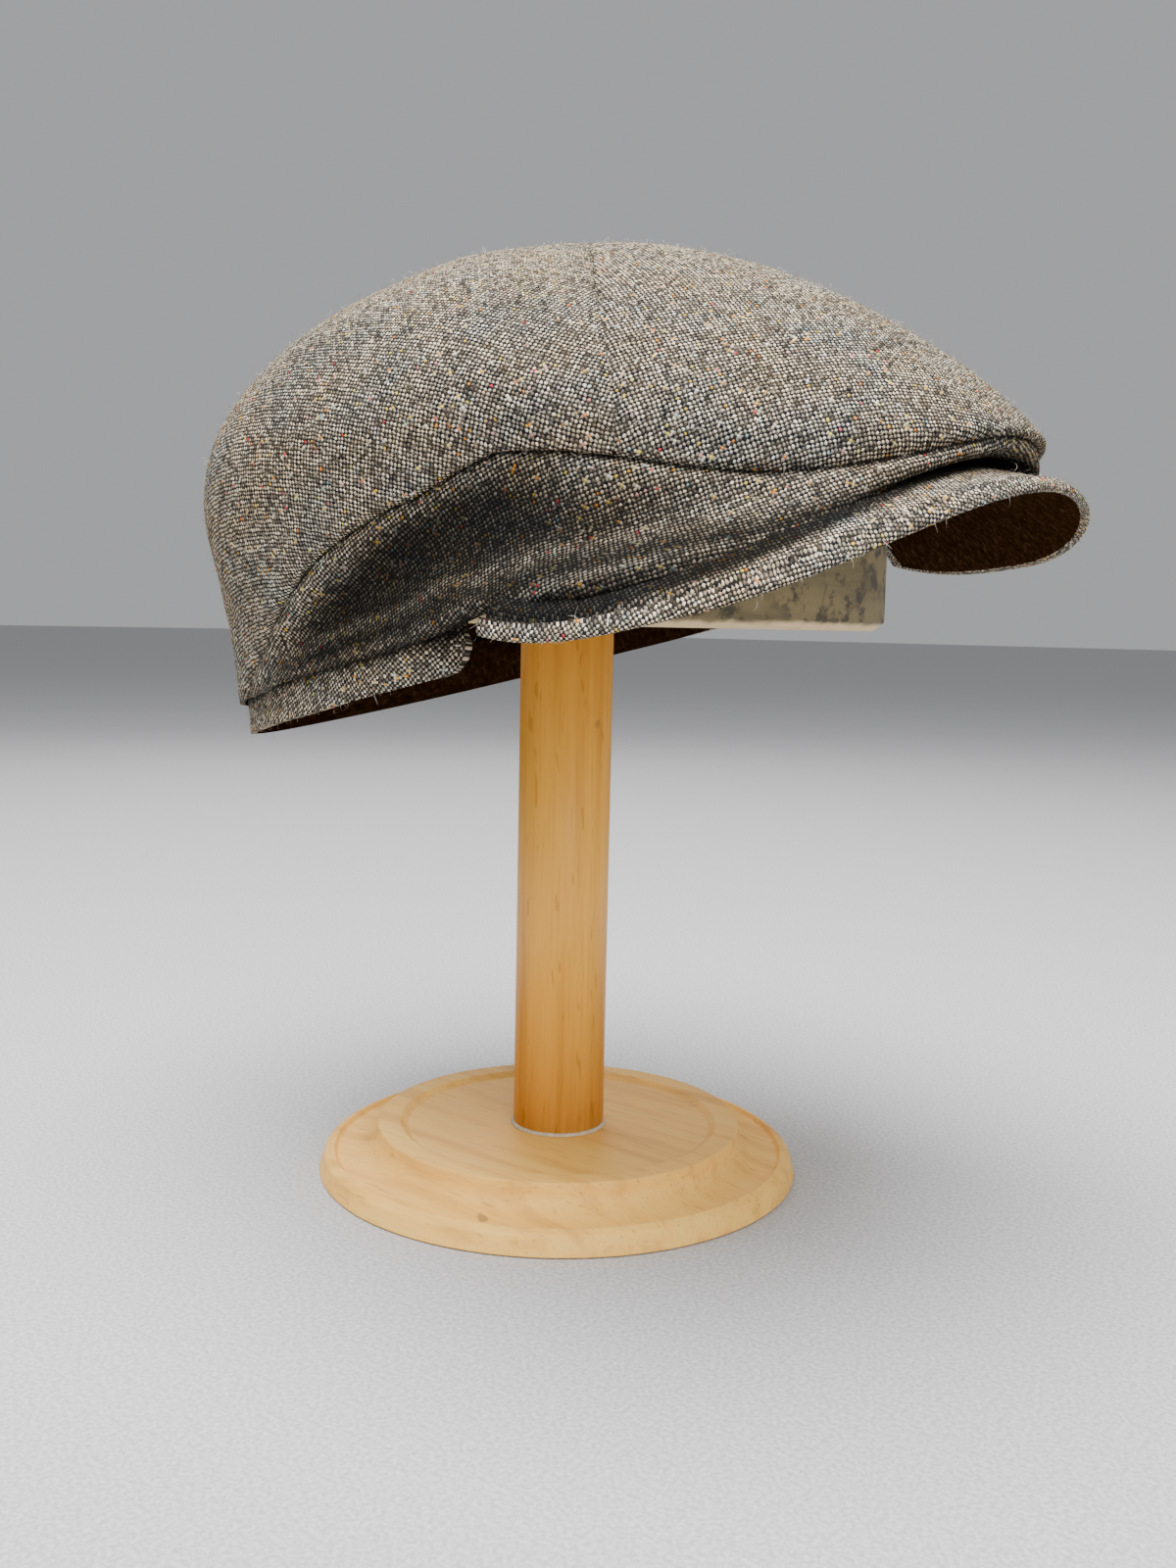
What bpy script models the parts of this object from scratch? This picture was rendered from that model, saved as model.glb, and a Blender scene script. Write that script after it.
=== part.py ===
# A tweed flat cap with a turned-up ear flap, resting on a turned wooden hat stand.
# The stand's foot is centred on the origin, +Z is up and the cap's front points along +X.
# The cap is laid out in its own frame (forward, left, up from the rim) and then tilted on to the stand.

import math

import bmesh
import bpy
import numpy as np
from mathutils import Euler, Vector

MM = 0.001

# Gaps between neighbouring pieces
PANEL_GAP = 0.9 * MM
FIT_GAP = 0.3 * MM

# Cap: cloth and head opening
CLOTH = 2.0 * MM
RIM_HALF_LENGTH = 100.4 * MM
RIM_HALF_WIDTH = 82.5 * MM

# Cap: crown
APEX_FORWARD = 2.0 * MM
APEX_LEFT = 5.0 * MM
APEX_HEIGHT = 101.0 * MM
REACH_FRONT = 142.0 * MM
REACH_SIDE = 93.0 * MM
REACH_BACK = 91.0 * MM
BULGE_RISE = 0.40
CROSS_SEAM_ANGLE = 54.0
CROSS_SEAM_CURVE = 1.15
CROSS_SEAM_TOP = 0.29

# Cap: peak
PEAK_CORNER_FORWARD = 60.0 * MM
PEAK_TIP_FORWARD = 149.0 * MM
PEAK_HALF_WIDTH = 97.0 * MM
PEAK_ARCH = 41.4 * MM
PEAK_DROP_SHARE = -0.48
PEAK_LIFT = 3.0 * MM
PEAK_BLUNTNESS = 0.86
PEAK_TWIST = -0.04
PEAK_BOARD = 3.0 * MM
PEAK_LINING = 1.0 * MM
PEAK_HEM = 5.0 * MM
PEAK_CLEARANCE = 1.0 * MM
PEAK_INSIDE_GAP = 7.5 * MM
PEAK_SHOWN_SIDE = 10.0 * MM
PEAK_SHOWN_FRONT = 15.0 * MM
PEAK_LEFT_AT_DEG = (60.0, 100.0)

# Cap: ear flap, a doubled band turned up inside the rim
FLAP_END_FORWARD = 37.0 * MM
FLAP_SHOWN = 9.0 * MM
FLAP_TUCKED = 12.0 * MM
FLAP_GAP = 0.8 * MM
FLAP_CLOTH = 1.8 * MM
FLAP_LINING = 1.2 * MM
FLAP_END_ROUNDING = 8.0 * MM

# How the cap sits on the stand
CAP_TILT_DEG = 13.1
CAP_ROLL_DEG = 7.0
CAP_SEAT = Vector((0.0, -7.0 * MM, 158.2 * MM))

# Stand
BASE_RADIUS = 70.5 * MM
BASE_HEIGHT = 13.2 * MM
BASE_BAND_HEIGHT = 5.0 * MM
BASE_DISC_RADIUS = 53.6 * MM
BASE_RECESS_RADIUS = 44.8 * MM
BASE_RECESS_DEPTH = 1.6 * MM
POST_RADIUS = 13.4 * MM
POST_SOCKET_DEPTH = 9.0 * MM
BLOCK_BOTTOM = 159.5 * MM
BLOCK_END_GAP = 9.4 * MM
BLOCK_SIDE_GAP = 12.5 * MM
BLOCK_FORWARD = 7.0 * MM
BLOCK_LEFT = -7.0 * MM
BLOCK_WALL = 40.0 * MM
BLOCK_DOME = 46.0 * MM
BLOCK_CORNER = 2.0 * MM
BLOCK_SOCKET_DEPTH = 25.0 * MM

# Half of the crown, front to back: angle from the front in degrees, how far the widest line lies
# above the rim or peak below it as a share of the apex height, how conical the dome is there, and
# where the side seam runs as a share of the way from rim to apex
SECTIONS = (
    # angle, widest, cone, seam
    (0.0, 0.105, 1.72, 0.27),
    (20.0, 0.112, 1.66, 0.27),
    (40.0, 0.145, 1.45, 0.31),
    (60.0, 0.250, 1.20, 0.35),
    (75.0, 0.350, 1.08, 0.31),
    (90.0, 0.420, 1.00, 0.26),
    (112.0, 0.420, 0.92, 0.10),
    (130.0, 0.410, 0.86, -0.06),
    (145.0, 0.400, 0.82, -0.20),
    (180.0, 0.390, 0.82, -0.40),
)

# Soft folds pressed into the cloth: place, half sizes and slant on the crown, and depth
FOLDS = (
    # angle, rise, half angle, half rise, slant, depth as a share of the rim's half width
    (-86.0, 0.17, 22.0, 0.075, 0.0060, 0.075),
    (-62.0, 0.20, 20.0, 0.090, 0.0020, 0.050),
    (-100.0, 0.06, 18.0, 0.045, 0.0060, -0.030),
    (88.0, 0.18, 24.0, 0.080, -0.0055, 0.070),
    (60.0, 0.20, 20.0, 0.090, -0.0020, 0.045),
    (102.0, 0.06, 18.0, 0.045, -0.0060, -0.028),
)


def clear_scene():
    for obj in list(bpy.data.objects):
        bpy.data.objects.remove(obj)


def material(name, color, roughness, metallic=0.0):
    made = bpy.data.materials.new(name)
    made.use_nodes = True
    shader = made.node_tree.nodes["Principled BSDF"]
    shader.inputs["Base Color"].default_value = (*color, 1.0)
    shader.inputs["Roughness"].default_value = roughness
    shader.inputs["Metallic"].default_value = metallic
    return made


def section_value(column, angle):
    """A column of SECTIONS at an angle in degrees, either side, smoothly between rows."""
    angles = [row[0] for row in SECTIONS]
    values = [row[column] for row in SECTIONS]
    at = abs((angle + 180.0) % 360.0 - 180.0)
    i = min(int(np.searchsorted(angles, at, side="right")) - 1, len(angles) - 2)
    span = angles[i + 1] - angles[i]
    t = (at - angles[i]) / span
    before = values[i - 1] if i > 0 else values[1]
    after = values[i + 2] if i + 2 < len(values) else values[-2]
    before_span = angles[i] - angles[i - 1] if i > 0 else angles[1] - angles[0]
    after_span = angles[i + 2] - angles[i + 1] if i + 2 < len(values) else span
    slope_in = (values[i + 1] - before) / (span + before_span)
    slope_out = (after - values[i]) / (span + after_span)
    t2, t3 = t * t, t * t * t
    return (
        (2 * t3 - 3 * t2 + 1) * values[i]
        + (t3 - 2 * t2 + t) * span * slope_in
        + (3 * t2 - 2 * t3) * values[i + 1]
        + (t3 - t2) * span * slope_out
    )


def peak_height(forward, left):
    """Height of the peak's upper face: an arch across, falling towards the tip."""
    arch = PEAK_ARCH * (1.0 - (left / PEAK_HALF_WIDTH) ** 2)
    run = forward - PEAK_CORNER_FORWARD
    twist = PEAK_TWIST * left * run / (PEAK_TIP_FORWARD - PEAK_CORNER_FORWARD)
    return PEAK_LIFT + arch + PEAK_DROP_SHARE * run + twist


def on_peak(angle):
    """How fully the crown rests on the peak: 1 in front, easing to 0 behind the peak's corners."""
    full, none = PEAK_LEFT_AT_DEG
    share = min(max((none - abs(angle)) / (none - full), 0.0), 1.0)
    return share * share * (3.0 - 2.0 * share)


def above_peak(forward, left, angle):
    """Height over the rim's plane that the peak gives to a place in plan."""
    return max(peak_height(max(forward, PEAK_CORNER_FORWARD), left), 0.0) * on_peak(angle)


def crown_foot(angle):
    """The crown's lower edge: a line on the peak in front, the head opening's oval behind."""
    a = math.radians(angle)
    forward, left = RIM_HALF_LENGTH * math.cos(a), RIM_HALF_WIDTH * math.sin(a)
    share = on_peak(angle)
    if share > 0.0:
        u = min(abs(angle) / 90.0, 1.0)
        shown = PEAK_SHOWN_FRONT + (PEAK_SHOWN_SIDE - PEAK_SHOWN_FRONT) * u
        crease = peak_outline(math.copysign(1.25 * u - 0.25 * u**3, angle), shown)
        forward += (crease[0] - forward) * share
        left += (crease[1] - left) * share
    within = 1.0 - 2.0 * CLOTH / math.hypot(forward, left)
    peak_top = max(above_peak(forward, left, angle), above_peak(forward * within, left * within, angle))
    clearance = PEAK_CLEARANCE * (1.0 + abs(angle) / 20.0) * share
    return Vector((forward, left, peak_top + clearance))


def fold_depth(angle, rise):
    total = 0.0
    for centre, height, half_angle, half_rise, slant, share in FOLDS:
        along = (angle - centre + 180.0) % 360.0 - 180.0
        across = rise - height - slant * along
        total += share * math.exp(-((along / half_angle) ** 2) - (across / half_rise) ** 2)
    return total * RIM_HALF_WIDTH


def crown_plain(angle, rise):
    """A point of the crown's outer face before its folds. Rise runs from 0 at the rim to 1 at the apex."""
    angle = (angle + 180.0) % 360.0 - 180.0
    a = math.radians(angle)
    reach = REACH_FRONT if math.cos(a) > 0.0 else REACH_BACK
    wide = Vector((APEX_FORWARD + reach * math.cos(a), APEX_LEFT + REACH_SIDE * math.sin(a), 0.0))
    rim = crown_foot(angle)
    wide.z = above_peak(wide.x, wide.y, angle) + APEX_HEIGHT * section_value(1, angle)
    if rise < BULGE_RISE:
        t = rise / BULGE_RISE
        out = math.sin(t * math.pi / 2.0)
        up = t + (1.0 - math.cos(t * math.pi / 2.0) - t) * 0.5
        return rim + Vector(((wide.x - rim.x) * out, (wide.y - rim.y) * out, (wide.z - rim.z) * up))
    theta = (1.0 - rise) / (1.0 - BULGE_RISE) * math.pi / 2.0
    out = math.sin(theta)
    up = math.cos(theta) ** section_value(2, angle)
    return Vector(
        (
            APEX_FORWARD + (wide.x - APEX_FORWARD) * out,
            APEX_LEFT + (wide.y - APEX_LEFT) * out,
            wide.z + (APEX_HEIGHT - wide.z) * up,
        )
    )


def from_plan(p, q):
    """Angle in degrees and rise of a place on the crown seen as a flat disc with the apex in its middle."""
    return math.degrees(math.atan2(q, p)), 1.0 - math.hypot(p, q)


def crown_normal(angle, rise):
    step = 0.004
    radius = 1.0 - rise
    p, q = radius * math.cos(math.radians(angle)), radius * math.sin(math.radians(angle))
    if radius + step > 1.0:
        p, q = p * (1.0 - step), q * (1.0 - step)
    across = [crown_plain(*from_plan(p, q + d)) for d in (-step / 2, step / 2)]
    along = [crown_plain(*from_plan(p + d, q)) for d in (-step / 2, step / 2)]
    return (along[1] - along[0]).cross(across[1] - across[0]).normalized()


def crown_point(angle, rise, inset=0.0):
    """A point of the crown in the cap's frame, with its folds, set in from the outer face."""
    normal = crown_normal(angle, rise)
    if normal.z > 0.0 and rise < 0.1:
        normal.z *= rise / 0.1
        normal.normalize()
    thin = 1.0 - 0.5 * on_peak(angle) * math.exp(-(((rise - BULGE_RISE) / 0.2) ** 2))
    return crown_plain(angle, rise) - normal * (fold_depth(angle, rise) + inset * thin)


def seam_rise(angle):
    return section_value(3, angle)


def seam_gap(angle):
    """Half the gap at the side seam, as a share of the way from rim to apex."""
    rise = min(max(seam_rise(angle), 0.0), 0.9)
    step = (crown_plain(angle, rise + 0.02) - crown_plain(angle, rise)).length / 0.02
    return PANEL_GAP / 2.0 / step


def place(point):
    """From the cap's own frame to its seat on the stand."""
    turn = Euler((math.radians(CAP_ROLL_DEG), -math.radians(CAP_TILT_DEG), 0.0), "XYZ")
    moved = point.copy()
    moved.rotate(turn)
    return moved + CAP_SEAT


def shell(name, outer, inner, finish):
    """A closed sheet between two equal grids of points, whose equal points are merged."""
    rows, columns = len(outer), len(outer[0])
    mesh = bmesh.new()
    faces = [[[mesh.verts.new(p) for p in row] for row in grid] for grid in (outer, inner)]
    top, under = faces
    for i in range(rows - 1):
        for j in range(columns - 1):
            mesh.faces.new((top[i][j], top[i][j + 1], top[i + 1][j + 1], top[i + 1][j]))
            mesh.faces.new((under[i][j], under[i + 1][j], under[i + 1][j + 1], under[i][j + 1]))
    edge = [(0, j) for j in range(columns)]
    edge += [(i, columns - 1) for i in range(1, rows)]
    edge += [(rows - 1, j) for j in range(columns - 2, -1, -1)]
    edge += [(i, 0) for i in range(rows - 2, 0, -1)]
    for here, there in zip(edge, edge[1:] + edge[:1]):
        a, b = top[here[0]][here[1]], top[there[0]][there[1]]
        c, d = under[there[0]][there[1]], under[here[0]][here[1]]
        mesh.faces.new((b, a, d, c))
    return finish_mesh(name, mesh, finish)


def finish_mesh(name, mesh, finish):
    bmesh.ops.remove_doubles(mesh, verts=mesh.verts[:], dist=1e-6)
    bmesh.ops.triangulate(mesh, faces=mesh.faces[:])
    bmesh.ops.recalc_face_normals(mesh, faces=mesh.faces[:])
    data = bpy.data.meshes.new(name)
    mesh.to_mesh(data)
    mesh.free()
    data.materials.append(finish)
    data.shade_smooth()
    data.set_sharp_from_angle(angle=math.radians(40.0))
    obj = bpy.data.objects.new(name, data)
    bpy.context.scene.collection.objects.link(obj)
    return obj


def crown_sheet(name, places, finish):
    """A cloth panel over a grid of (angle, rise) places on the crown."""
    outer = [[place(crown_point(a, r)) for a, r in row] for row in places]
    inner = [[place(crown_point(a, r, CLOTH)) for a, r in row] for row in places]
    return shell(name, outer, inner, finish)


def top_panel(name, facing, columns, rows, finish):
    """The front (facing 1) or back (facing -1) part of the upper crown, outwards from the cross seam."""
    half_gap = PANEL_GAP / 2.0 / (REACH_SIDE * 1.2)
    foot = 1.0 - seam_rise(CROSS_SEAM_ANGLE) - seam_gap(CROSS_SEAM_ANGLE)
    foot_p = foot * math.cos(math.radians(CROSS_SEAM_ANGLE)) + facing * half_gap
    foot_q = foot * math.sin(math.radians(CROSS_SEAM_ANGLE))
    places = []
    for i in range(rows + 1):
        t = i / rows
        row = []
        for j in range(columns + 1):
            s = -1.0 + 2.0 * j / columns
            angle = CROSS_SEAM_ANGLE * s if facing > 0 else 180.0 - (180.0 - CROSS_SEAM_ANGLE) * s
            edge = 1.0 - max(seam_rise(angle) + seam_gap(angle), 0.0)
            p_edge = edge * math.cos(math.radians(angle)) + facing * half_gap * abs(s) ** 8
            q_edge = edge * math.sin(math.radians(angle))
            if abs(s) == 1.0:
                p_edge, q_edge = foot_p, math.copysign(foot_q, s)
            along = CROSS_SEAM_TOP + (1.0 - CROSS_SEAM_TOP) * abs(s) ** CROSS_SEAM_CURVE
            p_seam = (foot_p - facing * half_gap) * along + facing * half_gap
            p = p_seam * (1.0 - t) + p_edge * t
            q = foot_q * s * (1.0 - t) + q_edge * t
            angle_here, rise_here = from_plan(p, q)
            row.append((angle_here, max(rise_here, 0.0)))
        places.append(row)
    return crown_sheet(name, places, finish)


def seam_end_angle():
    """Where behind the ear the side seam runs out at the rim."""
    low, high = 90.0, 179.0
    for _ in range(40):
        middle = (low + high) / 2.0
        if seam_rise(middle) > seam_gap(middle):
            low = middle
        else:
            high = middle
    return low


def side_panel(name, side, columns, rows, finish):
    """The panel between rim and side seam, on the right (side -1) or left (side 1)."""
    start = math.degrees(PANEL_GAP / 2.0 / RIM_HALF_LENGTH)
    end = seam_end_angle()
    places = []
    for i in range(rows + 1):
        row = []
        for j in range(columns + 1):
            angle = start + (end - start) * j / columns
            top = max(seam_rise(angle) - seam_gap(angle), 0.0)
            if j == columns:
                top = 0.0
            row.append((side * angle, top * i / rows))
        places.append(row)
    return crown_sheet(name, places, finish)


def peak_outline(s, inset):
    """A point in plan of the peak's outer edge, s from -1 at the right corner to 1 at the left."""
    a = s * math.pi / 2.0
    length = PEAK_TIP_FORWARD - PEAK_CORNER_FORWARD - inset
    forward = PEAK_CORNER_FORWARD + length * max(math.cos(a), 0.0) ** PEAK_BLUNTNESS
    return forward, (PEAK_HALF_WIDTH - inset) * math.sin(a)


def peak_inner(s, inset):
    """A point in plan of the line where the peak is sewn to the rim."""
    corner = math.acos(PEAK_CORNER_FORWARD / RIM_HALF_LENGTH)
    a = s * corner
    return (RIM_HALF_LENGTH + inset) * math.cos(a), (RIM_HALF_WIDTH + inset) * math.sin(a)


def peak_sheet(name, top, thickness, edge_inset, inner_inset, columns, rows, finish):
    """A layer of the peak between two depths below its upper face."""
    grids = []
    for depth in (top, top + thickness):
        grid = []
        for i in range(rows + 1):
            t = i / rows
            row = []
            for j in range(columns + 1):
                s = -1.0 + 2.0 * j / columns
                inner = peak_inner(s, inner_inset)
                outer = peak_outline(s, edge_inset)
                x = inner[0] + (outer[0] - inner[0]) * t
                y = inner[1] + (outer[1] - inner[1]) * t
                row.append(place(Vector((x, y, peak_height(x, y) - depth))))
            grid.append(row)
        grids.append(grid)
    return shell(name, grids[0], grids[1], finish)


def flap_top(angle, depth, tucked):
    """A point of the flap's tucked part, lying along the crown's inner face behind the peak."""
    angle = (angle + 180.0) % 360.0 - 180.0
    a = math.radians(angle)
    height = FLAP_TUCKED * tucked
    rise = height / APEX_HEIGHT / section_value(1, angle) * BULGE_RISE
    inside = depth + max(fold_depth(angle, rise), 0.0)
    forward, left = (RIM_HALF_LENGTH - inside) * math.cos(a), (RIM_HALF_WIDTH - inside) * math.sin(a)
    oval = Vector((forward, left, height))
    share = on_peak(angle)
    along_crown = crown_point(angle, rise, depth)
    return along_crown.lerp(oval, share)


def flap_sheet(name, inset, thickness, hem, columns, finish):
    """A band round the back of the head, from one peak corner to the other, with rounded lower ends."""
    start = math.degrees(math.acos(FLAP_END_FORWARD / RIM_HALF_LENGTH))
    grids = []
    for depth in (inset, inset + thickness):
        tucked = (1.0 - hem / FLAP_TUCKED, 0.72, 0.48, 0.24, 0.0)
        grid = [[] for _ in range(len(tucked) + 1)]
        for j in range(columns + 1):
            angle = start + (360.0 - 2.0 * start) * j / columns
            a = math.radians(angle)
            along = math.radians(min(angle - start, 360.0 - start - angle)) * RIM_HALF_LENGTH
            from_corner = min(max(1.0 - along / FLAP_END_ROUNDING, 0.0), 1.0)
            lift = FLAP_SHOWN * (1.0 - math.sqrt(1.0 - from_corner * from_corner)) * 0.8
            bottom = lift + hem - FLAP_SHOWN
            for row, share in enumerate(tucked):
                grid[row].append(place(flap_top(angle, depth, share)))
            x, y = (RIM_HALF_LENGTH - depth) * math.cos(a), (RIM_HALF_WIDTH - depth) * math.sin(a)
            grid[-1].append(place(Vector((x, y, bottom))))
        grids.append(grid)
    return shell(name, grids[0], grids[1], finish)


def turned(name, profile, segments, finish):
    """A solid of revolution about Z from (radius, height) points, first and last on the axis."""
    mesh = bmesh.new()
    rings = []
    for radius, height in profile:
        if radius == 0.0:
            rings.append([mesh.verts.new((0.0, 0.0, height))] * segments)
            continue
        ring = []
        for k in range(segments):
            a = 2.0 * math.pi * k / segments
            ring.append(mesh.verts.new((radius * math.cos(a), radius * math.sin(a), height)))
        rings.append(ring)
    for low, high in zip(rings, rings[1:]):
        for k in range(segments):
            n = (k + 1) % segments
            corners = dict.fromkeys((low[k], low[n], high[n], high[k]))
            mesh.faces.new(list(corners))
    return finish_mesh(name, mesh, finish)


def stand_base(finish):
    """A turned foot: square band, bead, cove and a raised disc with a shallow recess and a socket."""
    bead = BASE_RADIUS * 0.05
    cove_out = BASE_RADIUS - 2.2 * bead
    cove_run = cove_out - BASE_DISC_RADIUS
    disc_band = (BASE_HEIGHT - BASE_BAND_HEIGHT) * 0.38
    cove_rise = BASE_HEIGHT - disc_band - BASE_BAND_HEIGHT
    lip = disc_band * 0.16
    floor = BASE_HEIGHT - BASE_RECESS_DEPTH
    socket = POST_RADIUS + FIT_GAP
    profile = [(0.0, 0.0), (BASE_RADIUS, 0.0), (BASE_RADIUS - bead * 0.45, BASE_BAND_HEIGHT)]
    profile += [(BASE_RADIUS - bead * 0.75, BASE_BAND_HEIGHT + bead * 0.25)]
    profile += [(BASE_RADIUS - bead * 1.2, BASE_BAND_HEIGHT + bead * 0.35)]
    profile += [(BASE_RADIUS - bead * 1.5, BASE_BAND_HEIGHT + bead * 0.05)]
    for k in range(7):
        a = math.pi / 2.0 * k / 6
        height = BASE_BAND_HEIGHT + cove_rise * (1.0 - math.cos(a))
        profile.append((cove_out - cove_run * math.sin(a), height))
    profile += [(BASE_DISC_RADIUS, BASE_HEIGHT - lip)]
    profile += [(BASE_DISC_RADIUS - lip, BASE_HEIGHT)]
    profile += [(BASE_RECESS_RADIUS + BASE_RECESS_DEPTH, BASE_HEIGHT)]
    profile += [(BASE_RECESS_RADIUS, floor), (socket, floor)]
    profile += [(socket, floor - POST_SOCKET_DEPTH), (0.0, floor - POST_SOCKET_DEPTH)]
    return turned("stand_base", profile, 44, finish)


def stand_post(finish):
    bottom = BASE_HEIGHT - BASE_RECESS_DEPTH - POST_SOCKET_DEPTH + FIT_GAP
    top = BLOCK_BOTTOM + BLOCK_SOCKET_DEPTH - FIT_GAP
    ends = ((0.0, bottom), (POST_RADIUS, bottom), (POST_RADIUS, top), (0.0, top))
    return turned("stand_post", ends, 32, finish)


def block_half_sizes():
    """The block's half length and half width, a set gap smaller than the head opening."""
    return RIM_HALF_LENGTH - BLOCK_END_GAP, RIM_HALF_WIDTH - BLOCK_SIDE_GAP


def block_fall(x, y):
    """How far the block's dome lies below its top at a place in plan, or None outside the block."""
    half_length, half_width = block_half_sizes()
    share = math.hypot((x - BLOCK_FORWARD) / half_length, (y - BLOCK_LEFT) / half_width)
    if share > 1.0:
        return None
    return BLOCK_DOME * (1.0 - math.sqrt(1.0 - share * share))


def block_top():
    """The height at which the dome just carries the crown's inner face."""
    free = []
    for angle in range(0, 360, 10):
        for k in range(40):
            p = place(crown_point(float(angle), 0.02 + 0.98 * k / 39.0, CLOTH))
            fall = block_fall(p.x, p.y)
            if fall is not None and p.z > BLOCK_BOTTOM + BLOCK_WALL * 0.5:
                free.append(p.z + fall)
    return min(min(free) - FIT_GAP * 2.0, BLOCK_BOTTOM + BLOCK_WALL + BLOCK_DOME * 2.0)


def stand_block(finish):
    """The oval wooden block that fills the crown, with a domed top and a socket for the post."""
    segments, dome_rings = 40, 6
    top = block_top()
    socket = POST_RADIUS + FIT_GAP
    wall_top = top - BLOCK_DOME
    half_length, half_width = block_half_sizes()
    shrink = 1.0 - BLOCK_CORNER / half_width
    rings = [(shrink, BLOCK_BOTTOM), (1.0, BLOCK_BOTTOM + BLOCK_CORNER), (1.0, wall_top)]
    for k in range(1, dome_rings):
        a = math.pi / 2.0 * k / dome_rings
        rings.append((math.cos(a), wall_top + BLOCK_DOME * math.sin(a)))
    mesh = bmesh.new()
    loops = []
    roof = BLOCK_BOTTOM + BLOCK_SOCKET_DEPTH
    ovals = [(0.0, 0.0, socket, socket, roof), (0.0, 0.0, socket, socket, BLOCK_BOTTOM)]
    for share, height in rings:
        ovals.append((BLOCK_FORWARD, BLOCK_LEFT, half_length * share, half_width * share, height))
    for x, y, length, width, height in ovals:
        turns = [2.0 * math.pi * k / segments for k in range(segments)]
        ring = [(x + length * math.cos(a), y + width * math.sin(a), height) for a in turns]
        loops.append([mesh.verts.new(spot) for spot in ring])
    for low, high in zip(loops, loops[1:]):
        for k in range(segments):
            n = (k + 1) % segments
            mesh.faces.new((low[k], low[n], high[n], high[k]))
    hubs = ((loops[0], (0.0, 0.0, roof)), (loops[-1], (BLOCK_FORWARD, BLOCK_LEFT, top)))
    for ring, centre in hubs:
        hub = mesh.verts.new(centre)
        for k in range(segments):
            mesh.faces.new((ring[k], ring[(k + 1) % segments], hub))
    return finish_mesh("stand_block", mesh, finish)


def main():
    clear_scene()
    tweed = material("tweed", (0.150, 0.125, 0.105), 0.95)
    brown = material("brown_lining", (0.045, 0.028, 0.018), 0.95)
    beech = material("beech", (0.620, 0.410, 0.220), 0.55)
    worn = material("worn_wood", (0.420, 0.350, 0.220), 0.75)
    top_panel("crown_front", 1, 28, 9, tweed)
    top_panel("crown_back", -1, 56, 10, tweed)
    side_panel("side_right", -1, 34, 6, tweed)
    side_panel("side_left", 1, 34, 6, tweed)
    peak_sheet("peak", 0.0, PEAK_BOARD, 0.0, PEAK_INSIDE_GAP, 36, 5, tweed)
    under = PEAK_BOARD + FIT_GAP
    peak_sheet("peak_lining", under, PEAK_LINING, PEAK_HEM, PEAK_INSIDE_GAP + FIT_GAP, 36, 3, brown)
    inset = CLOTH + FLAP_GAP
    flap_sheet("ear_flap", inset, FLAP_CLOTH, 0.0, 48, tweed)
    flap_sheet("flap_lining", inset + FLAP_CLOTH + FLAP_GAP, FLAP_LINING, FLAP_LINING, 48, brown)
    stand_base(beech)
    stand_post(beech)
    stand_block(worn)


main()
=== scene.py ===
import math

import bpy
import numpy as np
from bpy.props import FloatProperty, FloatVectorProperty, IntProperty, PointerProperty
from mathutils import Euler, Matrix, Vector


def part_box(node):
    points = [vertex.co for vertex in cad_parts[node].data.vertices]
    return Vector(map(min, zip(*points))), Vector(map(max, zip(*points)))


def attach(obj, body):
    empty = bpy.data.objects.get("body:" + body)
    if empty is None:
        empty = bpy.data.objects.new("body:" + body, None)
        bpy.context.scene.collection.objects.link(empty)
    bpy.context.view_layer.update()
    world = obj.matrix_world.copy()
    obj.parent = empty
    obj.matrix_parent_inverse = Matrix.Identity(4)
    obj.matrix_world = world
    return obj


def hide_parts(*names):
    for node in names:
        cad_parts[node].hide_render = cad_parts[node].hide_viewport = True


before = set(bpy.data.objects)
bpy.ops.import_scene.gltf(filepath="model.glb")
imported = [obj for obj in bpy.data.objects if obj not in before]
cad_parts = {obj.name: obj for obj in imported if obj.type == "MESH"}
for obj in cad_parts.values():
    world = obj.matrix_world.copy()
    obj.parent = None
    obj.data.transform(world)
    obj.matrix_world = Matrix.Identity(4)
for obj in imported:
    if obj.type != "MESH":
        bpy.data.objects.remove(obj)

bl_info = {
    "name": "Tweed flat cap on a stand",
    "version": (1, 0, 0),
    "blender": (4, 5, 0),
    "location": "View3D > Sidebar > Flat cap",
    "description": "Builds a tweed flat cap resting on a turned wooden stand",
    "category": "Add Mesh",
}

MM = 0.001

# Cap: head opening and crown
RIM_HALF_LENGTH = 100.4 * MM
RIM_HALF_WIDTH = 82.5 * MM
APEX_FORWARD = 2.0 * MM
APEX_LEFT = 5.0 * MM
APEX_HEIGHT = 101.0 * MM
REACH_FRONT = 142.0 * MM
REACH_SIDE = 93.0 * MM
REACH_BACK = 91.0 * MM
BULGE_RISE = 0.40
CROSS_SEAM_ANGLE = 54.0
CROSS_SEAM_CURVE = 1.15
CROSS_SEAM_TOP = 0.29

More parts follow.
